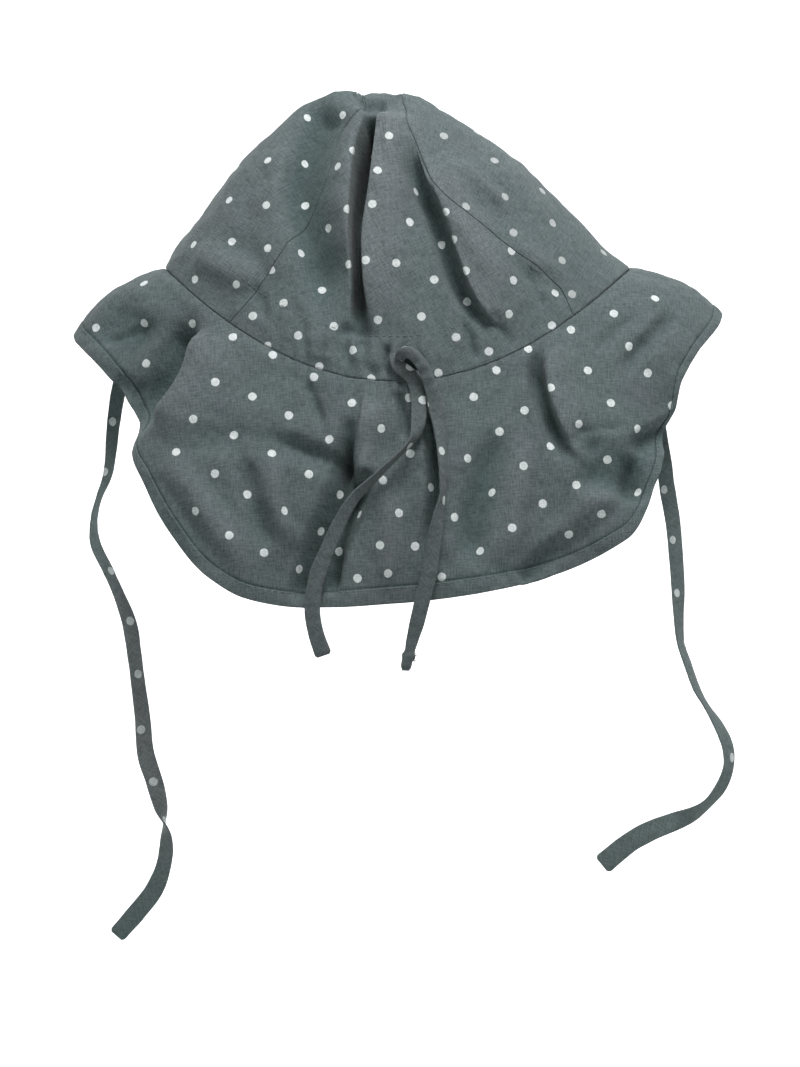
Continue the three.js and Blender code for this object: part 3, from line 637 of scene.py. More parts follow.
# Loose threads at the knotted end of the drawstring: where each starts, where it ends, and its thickness.
FRAY = table(
    "start end thick",
    ((7.6, -250.8), (9.4, -250.2), 0.60),
    ((7.8, -251.6), (10.0, -251.8), 0.70),
    ((7.4, -252.4), (9.8, -253.6), 0.55),
    ((7.0, -253.2), (9.0, -254.8), 0.60),
    ((6.6, -254.2), (8.0, -255.6), 0.45),
    ((4.4, -251.2), (3.2, -250.8), 0.50),
    ((4.0, -256.8), (3.4, -258.6), 0.50),
)
FRAY_DEPTH = -77.2
FRAY_BEND = 0.5
FRAY_SPREAD = 0.8
FRAY_TAPER = 0.6
FRAY_RINGS = 5


def frayed_end(name):
    """Loose threads that bend a little on their way and get thinner towards their ends."""
    verts, faces = [], []
    f = np.linspace(0.0, 1.0, FRAY_RINGS)
    for k, row in enumerate(FRAY):
        start, end = np.array(row["start"]), np.array(row["end"])
        way = unit(end - start)
        turn = 1.0 if k % 2 else -1.0
        bow = np.outer(np.sin(np.pi * f), (-way[1], way[0])) * FRAY_BEND * turn
        flat = start + np.outer(f, end - start) + bow
        centre = np.stack([flat[:, 0], FRAY_DEPTH - FRAY_SPREAD * f * turn, flat[:, 1]], axis=1)
        out = np.tile([0.0, 1.0, 0.0], (FRAY_RINGS, 1))
        across = np.tile([-way[1], 0.0, way[0]], (FRAY_RINGS, 1))
        add_thread(verts, faces, centre, out, across, row["thick"] / 2 * (1.0 - FRAY_TAPER * f))
    piece = add_mesh(name, verts, faces, [STITCH])
    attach(piece, "root")
    return piece


def tie_directions(centre, degrees):
    """The directions across a tie and out of its flat side, at each place along it."""
    tangent = unit(np.gradient(centre, axis=0))
    across = unit(np.cross(tangent, np.array([0.0, -1.0, 0.0])))
    out = np.cross(across, tangent)
    turn = np.radians(degrees)
    return across * np.cos(turn) + out * np.sin(turn), out * np.cos(turn) - across * np.sin(turn)


def tie_halves(name, run, rows):
    """Half the width and half the thickness of a tie at each place along it."""
    from_end = np.clip(np.minimum(run, run[-1] - run) / TIE_END, 0.0, 1.0)
    rounded = np.sqrt(1 - (1 - from_end) ** 2)[:, None]
    wide_end, thick_end = TIE_END_SHARE["wide"], TIE_END_SHARE["thick"]
    lumps = np.array([noise.noise(Vector((TIE_LUMPS["waves"] * r, 7.0, 0.0))) for r in run])[:, None]
    sway = np.array([noise.noise(Vector((TIE_SWAY["waves"] * r, 3.0, len(name)))) for r in run])[:, None]
    swayed = 1 + TIE_SWAY["share"] * sway
    width = rows[:, [ROUTE_WIDTH]] / 2 * (wide_end + (1 - wide_end) * rounded) * swayed
    thickness = np.full_like(width, TIE_THICKNESS)
    if rows.shape[1] > ROUTE_THICKNESS:
        thickness = rows[:, [ROUTE_THICKNESS]]
    lumpy = 1.0 + TIE_LUMPS["share"] * lumps
    return width, thickness / 2 * (thick_end + (1 - thick_end) * rounded) * lumpy


def ribbon(name, fact):
    """A flat sewn tie along its route: a folded strip with soft edges and one stitched side."""
    run, rows = smooth_route(fact["route"], TIE_STEP)
    centre = rows[:, :3]
    side, face = tie_directions(centre, rows[:, [ROUTE_TURN]])
    width, half = tie_halves(name, run, rows)
    angle = np.linspace(0.0, 2 * np.pi, TIE_SIDES, endpoint=False)
    wide = np.sign(np.cos(angle)) * np.abs(np.cos(angle)) ** TIE_BLUNT["wide"]
    thick = np.sign(np.sin(angle)) * np.abs(np.sin(angle)) ** TIE_BLUNT["thick"]
    from_groove = (wide - TIE_GROOVE["at"]) / TIE_GROOVE["width"]
    groove = 1.0 - TIE_GROOVE["depth"] * np.exp(-from_groove ** 2)
    points = (centre[:, None] + side[:, None] * (width * wide)[..., None]
              + face[:, None] * (half * thick * groove)[..., None])
    places = tie_dots(fact["dots"], run, centre, side)
    count = len(run)
    sweep = np.concatenate([[0.0], np.cumsum(np.abs(np.diff(np.append(wide, wide[0]))))])
    over = (1.0 - sweep) * fact["width"] / 2
    reach = DOT_PITCH * DOT_CELL
    faces, uv, dot_uv = [], [], []

    def add_face(corners, spots):
        faces.append(corners)
        uv.extend([(over[k], run[i]) for i, k in spots])
        middle = np.mean([run[i] for i, k in spots])
        near = places[np.abs(places[:, 0] - middle).argmin()]
        for i, k in spots:
            across_dot = (over[k] - near[1]) * fact["dot_squeeze"]
            along_dot = run[i] - near[0]
            dot_uv.append((np.clip(across_dot, -reach, reach), np.clip(along_dot, -reach, reach)))

    for i in range(count - 1):
        for k in range(TIE_SIDES):
            after = (k + 1) % TIE_SIDES
            ring, following = i * TIE_SIDES, (i + 1) * TIE_SIDES
            add_face((ring + k, following + k, following + after, ring + after),
                     [(i, k), (i + 1, k), (i + 1, k + 1), (i, k + 1)])
    points = points.reshape(-1, 3).tolist()
    for i in (0, count - 1):
        points.append(centre[i].tolist())
        for k in range(TIE_SIDES):
            corners = (i * TIE_SIDES + k, i * TIE_SIDES + (k + 1) % TIE_SIDES, len(points) - 1)
            add_face(corners if i == 0 else corners[::-1], [(i, k)] * 3)
    # The chin ties take the copy with painted light
    cloth = CHIN_TIE_PAINTED_LIGHT if name.startswith("chin") else TIE
    piece = add_mesh("linen_" + name, points, faces, [cloth], uv)
    # Painted light and shade along the tie, by its distance from the top
    strength_along = np.interp(-rows[:, 2], fact["strength_along"]["from_top"], fact["strength_along"]["share"])
    strength_along = np.append(np.repeat(strength_along, TIE_SIDES), (strength_along[0], strength_along[-1]))
    piece.data.attributes.new(PAINTED_LIGHT_AND_SHADE, "FLOAT", "POINT").data.foreach_set("value", strength_along)
    layer = piece.data.uv_layers.new(name=DOT_UV)
    layer.data.foreach_set("uv", (np.asarray(dot_uv) * MM).ravel())
    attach(piece, "root")
    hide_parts(*fact["nodes"])
    [frayed_end(end) for end in fact["frayed"]]
    return piece


for cord_name, cord_fact in CORDS.items():
    ribbon(cord_name, cord_fact)


def column(rows, name):
    return np.array([row[name] for row in rows], float)


def smoothstep(f):
    f = np.clip(f, 0.0, 1.0)
    return f * f * (3.0 - 2.0 * f)


def section(rows, name, place):
    """A smooth curve through one column at evenly numbered rows. Past the top the half depths turn over."""
    values = column(rows, name)
    sign = -1.0 if name in ("back", "front") else 1.0
    last = len(values) - 1
    k = np.minimum(place.astype(int), last - 1)
    start, end = values[k], values[k + 1]
    before = np.where(k > 0, values[np.maximum(k - 1, 0)], sign * values[1])
    after = values[np.minimum(k + 2, last)]
    end_slope = np.where(k + 2 > last, end - start, (after - start) / 2)
    return hermite(start, end, (end - before) / 2, end_slope, place - k)


def crown_column(choose, one, other, place):
    """The crown table's column at a place, one or the other of two as chosen."""
    return np.where(choose, section(CROWN_SECTIONS, one, place), section(CROWN_SECTIONS, other, place))


def plain_crown(angle, place):
    across = np.sin(angle)
    facing = np.cos(angle)
    wide = crown_column(across < 0, "left", "right", place)
    deep = crown_column(facing > 0, "back", "front", place)
    sag = crown_column(facing > 0, "back_sag", "front_sag", place)
    drop = section(CROWN_SECTIONS, "drop", place)
    return np.stack([across * wide, -facing * deep, -drop - facing * facing * sag], axis=-1)


def brim_column(name, degrees):
    """The brim table's column at an angle, smooth all round and with no overshoot between rows."""
    angles = column(BRIM_SECTIONS, "angle")
    values = column(BRIM_SECTIONS, name)
    slope = np.diff(values) / np.diff(angles)
    before = np.roll(slope, 1)
    same_way = before * slope > 0
    total = np.where(same_way, before + slope, 1.0)
    at = np.where(same_way, 2 * before * slope / total, 0.0)
    at = np.append(at, at[0])
    k = np.clip(np.searchsorted(angles, degrees, side="right") - 1, 0, len(slope) - 1)
    width = angles[k + 1] - angles[k]
    return hermite(values[k], values[k + 1], at[k] * width, at[k + 1] * width, (degrees - angles[k]) / width)


def plain_brim(degrees, along):
    angle = np.radians(degrees)
    rim = plain_crown(angle, np.full_like(angle, RIM))
    fall = brim_column("fall", degrees)
    swing = np.radians(brim_column("swing", degrees)) * np.sign(angle)
    line = np.arctan2(rim[..., 0] - FLARE_CENTRE[0], FLARE_CENTRE[1] - rim[..., 2]) + swing
    belly = brim_column("belly", degrees) * np.sin(np.pi * along)
    across = np.sin(angle)
    x = rim[..., 0] + along * fall * np.sin(line) + belly * across * np.cos(line)
    y = rim[..., 1] + along * brim_column("depth", degrees) - belly * np.cos(angle)
    z = rim[..., 2] - along * fall * np.cos(line) + belly * across * np.sin(line)
    return np.stack([x, y, z], axis=-1)


def fold_line(row):
    """Places along a fold, on a smooth curve."""
    places = np.stack([row["x"], row["z"]], axis=-1).astype(float)
    ends = with_ends(places)
    t = np.linspace(0.0, len(places) - 1.0, FOLD_SAMPLES + 1)
    k = np.minimum(t.astype(int), len(places) - 2)
    a, b, c, d = ends[k], ends[k + 1], ends[k + 2], ends[k + 3]
    return hermite(b, c, (c - a) / 2, (d - b) / 2, (t - k)[:, None])


def fold_moves(folds, spots):
    """How far the folds move the cloth out and over, at places (x, z) seen from behind."""
    flat = spots.reshape(-1, 1, 2)
    moves = np.zeros((len(flat), 3))
    for row in folds.values():
        line = fold_line(row)
        step = np.diff(line, axis=0)
        offset = flat - line[:-1]
        share = np.clip((offset * step).sum(-1) / (step * step).sum(-1), 0.0, 1.0)
        offset = offset - share[..., None] * step
        k = np.linalg.norm(offset, axis=-1).argmin(axis=1)
        pick = np.arange(len(k))
        near = offset[pick, k]
        way = unit(step[k])
        on_right = way[:, 0] * near[:, 1] - way[:, 1] * near[:, 0] > 0
        reach = np.where(on_right, row["right"], row["left"])
        across = np.minimum(np.linalg.norm(near, axis=-1) / reach, 1.0)
        along = (k + share[pick, k]) / FOLD_SAMPLES
        strength_along = smoothstep(along / row["fade"][0]) * smoothstep((1 - along) / row["fade"][1])
        soft = (1 - across ** 2) ** 2
        strength = strength_along * (soft + row["crisp"] * ((1 - across) ** 2 - soft))
        moves[:, 0] += row["out"] * strength
        moves[:, 1] -= row["lean"] * strength * way[:, 1]
        moves[:, 2] += row["lean"] * strength * way[:, 0]
    return moves.reshape(spots.shape[:-1] + (3,))


def gathers(x, from_rim):
    middle = np.maximum(0.0, 1 - (x / GATHER["half_width"]) ** 2)
    near = np.maximum(0.0, 1 - np.abs(from_rim) / (2 * CASING_DEPTH))
    turns = x / GATHER["pitch"] + GATHER["sway"] * np.sin(x / GATHER["sway_length"])
    return GATHER["depth"] * middle * near * np.cos(2 * np.pi * turns)


def noise_at(points, size, seed):
    shift = Vector((seed * 17.3, seed * 5.1, seed * 9.7))
    flat = [noise.noise(Vector(p) / size + shift) for p in points.reshape(-1, 3)]
    return np.array(flat).reshape(points.shape[:-1])


# Soft waves and sharp creases that linen keeps all over: their size and how far they stand out.
CRUMPLES = table("size out sharp", (34.0, 1.5, False), (17.0, 1.3, True), (8.0, 0.5, True))
CREASE_LEVEL = 0.2


def crumple(points):
    out = 0.0
    for seed, row in enumerate(CRUMPLES, 1):
        wave = noise_at(points, row["size"], seed)
        if row["sharp"]:
            wave = np.abs(wave) - CREASE_LEVEL
        out = out + row["out"] * wave
    return out


def light_and_shade_from_depth(out):
    """How much a place of the cloth stands out, from -3 in the deepest folds to 1 on ridges, which sets the
    painted shade in its folds and the painted light on its ridges.
    """
    return np.clip(out / RELIEF_DEPTH, -3.0, 1.0)


def grid_normals(points):
    down = np.gradient(points, axis=0)
    right = np.gradient(points, axis=1)
    return unit(np.cross(down, right))


def moved(points, normals, out, moves):
    sideways = np.stack([moves[..., 1], np.zeros_like(out), moves[..., 2]], axis=-1)
    sideways -= (sideways * normals).sum(-1, keepdims=True) * normals
    return points + normals * out[..., None] + sideways


# The ridge that a seam allowance makes beside a seam, and how allowances are trimmed towards the top.
SEAM_RIDGE = {"share": 0.35, "at": 4.0, "width": 2.2}
TRIM = {"least": 0.15, "from": -20.0, "over": 40.0}


def roll(distance, depth):
    """How far a panel's edge is rolled inward towards its seam, at a distance from the edge."""
    inside = np.clip(1 - distance / depth, 0.0, 1.0)
    from_ridge = (distance - SEAM_RIDGE["at"]) / SEAM_RIDGE["width"]
    return -depth * (1 - np.sqrt(1 - inside ** 2)) + SEAM_RIDGE["share"] * depth * np.exp(-from_ridge ** 2)


def turned_in(points, axis, first, last):
    """Adds the cloth's seam allowance, turned to the inside, along the edges of a grid. It is trimmed to
    almost nothing towards the top."""
    kept = smoothstep((TRIM["from"] - points[..., 2:]) / TRIM["over"])
    normals = grid_normals(points) * (TRIM["least"] + (1 - TRIM["least"]) * kept)

    def allowance(end):
        edge = np.take(points, [end], axis=axis)
        out = np.take(normals, [end], axis=axis)
        return [edge - out * depth for depth in TURN_IN]

    before = allowance(0)[::-1] if first else []
    after = allowance(-1) if last else []
    return np.concatenate(before + [points] + after, axis=axis)


NEAR_EDGE = np.array([0.0, 0.25, 0.55, 0.95, 1.7])
PLACES_PER_MM = 0.05
ROW_SAMPLES = 361


def spread(widths, count):
    """Distances across rows of the given widths, closer together near both edges."""
    widths = np.asarray(widths)[:, None]
    inner = np.linspace(0.0, 1.0, count)[1:-1] * (widths - 2 * NEAR_EDGE[-1]) + NEAR_EDGE[-1]
    left = np.repeat(NEAR_EDGE[None], len(widths), axis=0)
    return np.concatenate([left, inner, widths - left[:, ::-1]], axis=1)


def crown_places(count):
    """Places from the top to the rim, closer together near the rim."""
    return np.concatenate([np.linspace(0.0, RIM - PLACES_PER_MM * NEAR_EDGE[-1], count),
                           RIM - PLACES_PER_MM * NEAR_EDGE[-2::-1]])


def seam_angle(name, place):
    x = section(PANEL_SEAMS, name, place)
    return np.arcsin(x / crown_column(x < 0, "left", "right", place))


def row_angles(start, end, place, count):
    """Angles along rows round the crown, even along each row and closer together near both ends, with the
    distance of each place from the nearer end."""
    f = np.linspace(0.0, 1.0, ROW_SAMPLES)
    angle = start[:, None] + (end - start)[:, None] * f
    line = plain_crown(angle, np.repeat(place[:, None], len(f), axis=1))
    steps = np.linalg.norm(np.diff(line, axis=1), axis=-1)
    run = np.concatenate([np.zeros((len(place), 1)), np.cumsum(steps, axis=1)], axis=1)
    distance = spread(run[:, -1], count)
    even = np.stack([np.interp(d, r, a) for d, r, a in zip(distance, run, angle)])
    return even, np.minimum(distance, run[:, -1:] - distance)


# How soon, from the top down, panels face outward, folds begin and the lobes along the top end. Then how soon
# folds begin from the sides to the back, and the dent along the casing's stitches.
FACING_OUT = 0.8
FOLDS_BEGIN = 0.15
LOBES_END = 1.2
CROWN_BACK = 0.4
BRIM_BACK = 0.3
STITCH_DENT = {"depth": 0.1, "width": 0.8}


def folded_crown(angle, place, from_seam):
    plain = plain_crown(angle, place)
    up = np.array([0.0, 0.0, 1.0])
    normals = unit(up + smoothstep(place / FACING_OUT)[..., None] * (grid_normals(plain) - up))
    spots = plain[..., [0, 2]]
    rim = plain_crown(angle, np.full_like(place, RIM))
    from_rim = plain[..., 2] - rim[..., 2]
    folds = fold_moves(CROWN_FOLDS, spots) * smoothstep(from_rim / CASING_DEPTH)[..., None]
    folds += fold_moves(CASING_FOLDS, spots) * smoothstep(from_rim / CREASE_FADE)[..., None]
    folds[..., 0] += gathers(plain[..., 0], from_rim)
    folds *= (smoothstep(np.cos(angle) / CROWN_BACK) * smoothstep(place / FOLDS_BEGIN))[..., None]
    from_stitch = (from_rim - CASING_STITCH) / STITCH_DENT["width"]
    stitched = -STITCH_DENT["depth"] * np.exp(-from_stitch ** 2)
    along_rim = np.linalg.norm(plain - rim, axis=-1)
    seams = np.minimum(roll(from_seam, PANEL_ROLL), roll(along_rim, RIM_ROLL))
    out = folds[..., 0] + crumple(plain) + seams + stitched
    lobes = np.interp(plain[..., 0], column(TOP_LOBES, "x"), column(TOP_LOBES, "rise"))
    plain = plain + up * (lobes * (1 - smoothstep(place / LOBES_END)))[..., None]
    shallow = moved(plain, normals, SHALLOW * folds[..., 0], folds)
    return {"cloth": moved(plain, normals, out, folds), "shallow": shallow, "plain": plain,
            "from_rim": from_rim, "relief": light_and_shade_from_depth(out)}


def centre_panel(rows, columns):
    half = crown_places(rows)
    place = np.concatenate([half[::-1], half[1:]])
    is_back = np.arange(len(place)) >= len(half) - 1
    start = np.where(is_back, seam_angle("back_left", place), seam_angle("front_left", place))
    end = np.where(is_back, seam_angle("back_right", place), seam_angle("front_right", place))
    angle, from_seam = row_angles(start, end, place, columns)
    angle = np.where(is_back[:, None], angle, np.pi - angle)
    return folded_crown(angle, np.repeat(place[:, None], angle.shape[1], axis=1), from_seam)


def side_panel(side, rows, columns):
    """A side panel of the crown, from its front seam round to its back seam on the left, or back to front."""
    place = crown_places(rows)
    name = "left" if side < 0 else "right"
    back = seam_angle("back_" + name, place)
    front = side * np.pi - seam_angle("front_" + name, place)
    start, end = (front, back) if side < 0 else (back, front)
    angle, from_seam = row_angles(start, end, place, columns)
    return folded_crown(angle, np.repeat(place[:, None], angle.shape[1], axis=1), from_seam)


# Rows of points over the hem, as shares of its width, and the row with its stitches.
HEM_ROWS = np.array([1.4, 1.25, 1.12, 1.06, 1.0, 0.94, 0.87, 0.74, 0.57, 0.38, 0.2, 0.08, 0.0])
HEM_STITCH = 0.94
# Rows of the hem's turned part: how far under the outside, and how far back from the edge.
HEM_TURN = table("depth back_up", (0.6, 0.25), (1.15, 0.25), (1.7, 0.9), (1.7, 2.4), (1.7, 4.4), (1.7, 6.4),
                 (1.7, 8.0))
# The hem's line: its groove, the step up to the hem, the hem's pillow, the puckers beside it, where dots end,
# how much of it shows at the front, and how much painted shade darkens the groove.
HEM_GROOVE = {"at": 0.4, "width": 0.4, "depth": 0.4}
HEM_STEP = {"at": 0.3, "over": 0.6, "height": 0.25}
HEM_PILLOW = 0.2
HEM_PUCKER = {"size": 5.5, "seed": 4, "height": 0.3, "reach": 4.0}
HEM_BARE = {"at": 0.7, "over": 0.6}
HEM_FRONT = 0.3
HEM_SHADE = 1.8


def hem_shape(plain, from_hem, hem, at_back):
    """How far the hem stands out, how deep in its groove a place is, and how bare of dots it is."""
    from_line = from_hem - hem
    groove = np.exp(-((from_line - HEM_GROOVE["at"]) / HEM_GROOVE["width"]) ** 2)
    step = HEM_STEP["height"] * smoothstep((HEM_STEP["at"] - from_line) / HEM_STEP["over"])
    band = (step - HEM_GROOVE["depth"] * groove) * (HEM_FRONT + (1 - HEM_FRONT) * at_back)
    pillow = HEM_PILLOW * np.sin(np.pi * np.clip(from_hem / hem, 0.0, 1.0))
    wave = HEM_PUCKER["height"] * noise_at(plain, HEM_PUCKER["size"], HEM_PUCKER["seed"])
    pucker = wave * np.exp(-(from_line / HEM_PUCKER["reach"]) ** 2)
    bare = smoothstep((HEM_BARE["at"] - from_line) / HEM_BARE["over"])
    return band + pillow + pucker, groove, bare


def turned_hem(outer, fall, from_rim):
    """Rows of the hem's turned part, under the outside of the brim."""
    normals = grid_normals(outer)
    turned = []
    for hem_row in HEM_TURN:
        row = np.empty_like(outer[0])
        inside = np.empty_like(outer[0])
        for j in range(outer.shape[1]):
            at = fall[0, j] - hem_row["back_up"]
            row[j] = [np.interp(at, from_rim[:, j], outer[:, j, k]) for k in range(3)]
            inside[j] = [np.interp(at, from_rim[:, j], normals[:, j, k]) for k in range(3)]
        turned.append(row - inside * hem_row["depth"])
    return np.stack(turned)


def brim_panel(rows, back_columns, front_columns):
    back = np.linspace(0.0, 90.0, back_columns + 1)
    front = np.linspace(90.0, 180.0, front_columns + 1)
    half = np.concatenate([back, front[1:]])
    degrees = np.concatenate([-half[::-1], half[1:]])[None, :]
    fall = brim_column("fall", degrees)
    hem = brim_column("hem", degrees)
    hem_rows = HEM_ROWS[:, None] * hem
    inner = np.linspace(0.0, 1.0, rows)[:, None] * (fall - hem_rows[0] - NEAR_EDGE[-1]) + NEAR_EDGE[-1]
    near = np.repeat(NEAR_EDGE[:-1, None], degrees.shape[1], axis=1)
    from_rim = np.concatenate([near, inner, fall - hem_rows[1:]])
    degrees = np.repeat(degrees, len(from_rim), axis=0)
    plain = plain_brim(degrees, from_rim / fall)
    spots = plain[..., [0, 2]]
    at_back = smoothstep(np.cos(np.radians(degrees)) / BRIM_BACK)
    folds = fold_moves(BRIM_FOLDS, spots) * smoothstep(from_rim / CASING_DEPTH)[..., None]
    folds += fold_moves(BRIM_CREASES, spots) * smoothstep(from_rim / CREASE_FADE)[..., None]
    folds[..., 0] += gathers(plain[..., 0], from_rim)
    folds *= at_back[..., None]
    hem_out, groove, bare = hem_shape(plain, fall - from_rim, hem, at_back)
    out = folds[..., 0] + crumple(plain) + roll(from_rim, RIM_ROLL) + hem_out
    outer = moved(plain, grid_normals(plain), out, folds)
    whole = np.concatenate([outer, turned_hem(outer, fall, from_rim)])

    def on_hem_too(values):
        return np.concatenate([values, np.repeat(values[-1:], len(HEM_TURN), axis=0)])

    past_edge = fall + column(HEM_TURN, "back_up")[:, None]
    ring = brim_ring(degrees[0], np.concatenate([from_rim, past_edge]), on_hem_too(folds))
    # Painted shade darkens the hem's groove as well as the folds
    relief = light_and_shade_from_depth(on_hem_too(out - RELIEF_DEPTH * HEM_SHADE * groove))
    return outer, whole, ring, relief, on_hem_too(bare)


def grid_faces(rows, columns):
    i, j = np.meshgrid(np.arange(rows - 1), np.arange(columns - 1), indexing="ij")
    first = (i * columns + j).ravel()
    return np.stack([first, first + columns, first + columns + 1, first + 1], axis=1)


def flatten(piece):
    """Unwraps a panel and returns the flat coordinates of each face's corners in millimetres."""
    bpy.context.view_layer.objects.active = piece
    piece.select_set(True)
    bpy.ops.object.mode_set(mode="EDIT")
    bpy.ops.mesh.select_all(action="SELECT")
    bpy.ops.uv.unwrap(method="ANGLE_BASED", margin=0.0)
    bpy.ops.object.mode_set(mode="OBJECT")
    piece.select_set(False)
    mesh = piece.data
    corners = np.empty(len(mesh.loops) * 2)
    mesh.uv_layers[CLOTH_UV].data.foreach_get("uv", corners)
    corners = corners.reshape(-1, 4, 2)
    area = sum(face.area for face in mesh.polygons)
    one, two = corners[:, 2] - corners[:, 0], corners[:, 3] - corners[:, 1]
    flat_area = np.abs(one[:, 0] * two[:, 1] - one[:, 1] * two[:, 0]).sum() / 2
    return corners * math.sqrt(area / flat_area) / MM


def bend(distance):
    """The kernel of a thin plate that bends as little as it can through given places."""
    return distance ** 2 * np.log(np.maximum(distance, 1e-6))


def lattice_fit(corners, centres, chosen, dots):
    """Turns and shifts flat coordinates so that the dots fall where a few of them are seen from behind.

    Each dot has its step along its row, its step up, and its place across and up. What the turn and shift
    leave over is eased out as a thin plate bends, and not at all far away from those dots. It returns the
    turned coordinates and how far each of them is eased.
    """
    ids = np.where(chosen)[0]
    here, there = [], []
    for i, j, x, z in dots:
        away = np.hypot(centres[ids, 0] - x, centres[ids, 2] - z)
        near = ids[away < away.min() + SAME_PLACE]
        best = near[centres[near, 1].argmin()]
        here.append(corners[best].mean(axis=0))
        there.append((i * DOT_PITCH, j * DOT_PITCH))
    here, there = np.array(here), np.array(there)
    a, b = here - here.mean(axis=0), there - there.mean(axis=0)
    turn = np.arctan2((a[:, 0] * b[:, 1] - a[:, 1] * b[:, 0]).sum(), (a * b).sum())
    matrix = np.array([[np.cos(turn), np.sin(turn)], [-np.sin(turn), np.cos(turn)]])
    shift = there.mean(axis=0) - here.mean(axis=0) @ matrix
    turned = corners @ matrix + shift
    seen = (here @ matrix + shift) / DOT_PITCH
    count = len(seen)
    system = np.zeros((count + 3, count + 3))
    system[:count, :count] = bend(np.linalg.norm(seen[:, None] - seen, axis=-1)) + EASE_FLOOR * np.eye(count)
    system[:count, count] = 1.0
    system[:count, count + 1:] = seen
    system[count:, :count] = system[:count, count:].T
    pulls = np.linalg.solve(system, np.vstack([there - seen * DOT_PITCH, np.zeros((3, 2))]))
    spots = turned / DOT_PITCH
    away = np.linalg.norm(spots[:, :, None] - seen, axis=-1)
    eased = bend(away) @ pulls[:count] + pulls[count] + spots @ pulls[count + 1:]
    beyond = np.maximum(away.min(axis=2, keepdims=True) - EASE_START, 0.0)
    return turned, eased * np.exp(-(beyond / EASE_REACH) ** 2)


def printed_dots(layouts, region, spots):
    """Coordinates round the centre of each dot, so that dots are round on the cloth, from the layouts of a
    panel, the layout that each face has, and the corners of its faces. Other places are far from any dot."""
    centres = spots.mean(axis=1)
    around = np.full((len(spots), 4, 2), DOT_PITCH / 2)
    printed = []
    for k, (turned, eased) in enumerate(layouts):
        flat = turned.mean(axis=1)
        place = flat + eased.mean(axis=1)
        step = np.round(place / DOT_PITCH)
        miss = np.linalg.norm(place - step * DOT_PITCH, axis=1)
        found = np.where((region == k) & (miss < DOT_FIND))[0]
        for one in np.unique(step[found], axis=0):
            ids = found[(step[found] == one).all(axis=1)]
            best = ids[miss[ids].argmin()]
            ids = ids[np.linalg.norm(centres[ids] - centres[best], axis=1) < 2 * DOT_FIND]
            weights = (DOT_WEIGHT_REACH - miss[ids]) ** 2
            middle = np.average(centres[ids], axis=0, weights=weights)
            crowded = any(np.linalg.norm(middle - other) < DOT_PITCH / 2 for other in printed)
            tucked = any(math.hypot(middle[0] - x, middle[2] - z) < TUCKED_REACH for x, z in TUCKED_DOTS)
            if crowded or tucked:
                continue
            printed.append(middle)
            near = np.where((np.linalg.norm(centres - middle, axis=1) < 2 * DOT_RADIUS)
                            & (np.linalg.norm(flat - flat[best], axis=1) < 4 * DOT_RADIUS))[0]
            corners = spots[best]
            normal = unit(np.cross(corners[2] - corners[0], corners[3] - corners[1]))
            along = unit(corners[1] - corners[0])
            axes = np.stack([along, np.cross(normal, along)], axis=1)
            offset = spots[near] - middle
            level = offset @ axes
            flat_run = np.maximum(np.linalg.norm(level, axis=-1), LEAST_RUN)
            longer = np.linalg.norm(offset, axis=-1) / flat_run
            around[near] = level * longer[..., None]
    return around


# A few dots of each stretch of cloth, as steps along and up its rows, and their places across and up.
CROWN_LEFT_DOTS = [
    (0, 0, -57.7, -29.8), (1, 0, -40.3, -30.2), (1, 1, -38.9, -9.9), (-1, -1, -74.7, -46.9),
    (0, -1, -57.7, -49.6), (0, -2, -57.2, -69.8), (-1, -2, -72.9, -65.4), (-2, -2, -91.4, -67.4),
    (2, 1, -23.9, -8.6), (-2, -3, -90.7, -83.4), (-1, -3, -71.4, -85.5), (1, -1, -41.0, -50.1),
]
CROWN_RIGHT_DOTS = [
    (0, 0, 45.3, -29.8), (0, -1, 49.6, -45.0), (0, -2, 53.5, -61.9), (1, -2, 71.6, -57.6),
    (1, -3, 75.6, -74.1), (2, -3, 94.6, -70.6), (-1, 1, 22.2, -18.2), (1, -4, 79.1, -89.4),
    (-1, -1, 32.9, -50.4),
]
CENTRE_LEFT_DOTS = [
    (0, 0, -30.7, -60.1), (1, 0, -20.2, -76.3), (0, -1, -41.5, -72.7), (1, -1, -33.0, -88.5),
    (2, -1, -26.1, -104.0), (-1, 1, -26.2, -32.3), (1, -2, -50.2, -93.5), (2, -2, -44.0, -108.2),
    (0, 1, -21.1, -52.0), (-1, 2, -17.8, -26.1), (3, -1, -20.4, -115.1), (4, -1, -10.4, -128.7),
]
CENTRE_MIDDLE_DOTS = [
    (0, 0, 7.5, -57.9), (0, -1, 0.1, -75.6), (1, -1, 18.5, -84.3), (1, -2, 11.4, -100.8),
    (2, -2, 27.7, -109.1), (2, -3, 19.6, -124.7), (0, 1, 10.0, -43.8), (-1, 1, -6.8, -34.6),
    (-1, 0, -10.7, -49.5), (-1, 2, -1.7, -19.1), (-1, -1, -13.0, -76.0), (0, -2, -7.5, -102.0),
]
CENTRE_RIGHT_DOTS = [
    (0, 0, 32.9, -78.4), (1, 0, 54.1, -83.6), (1, -1, 51.1, -99.0), (0, 2, 21.5, -52.9),
    (2, -1, 70.0, -103.5), (1, -2, 45.5, -116.2), (0, 1, 24.2, -67.1),
]
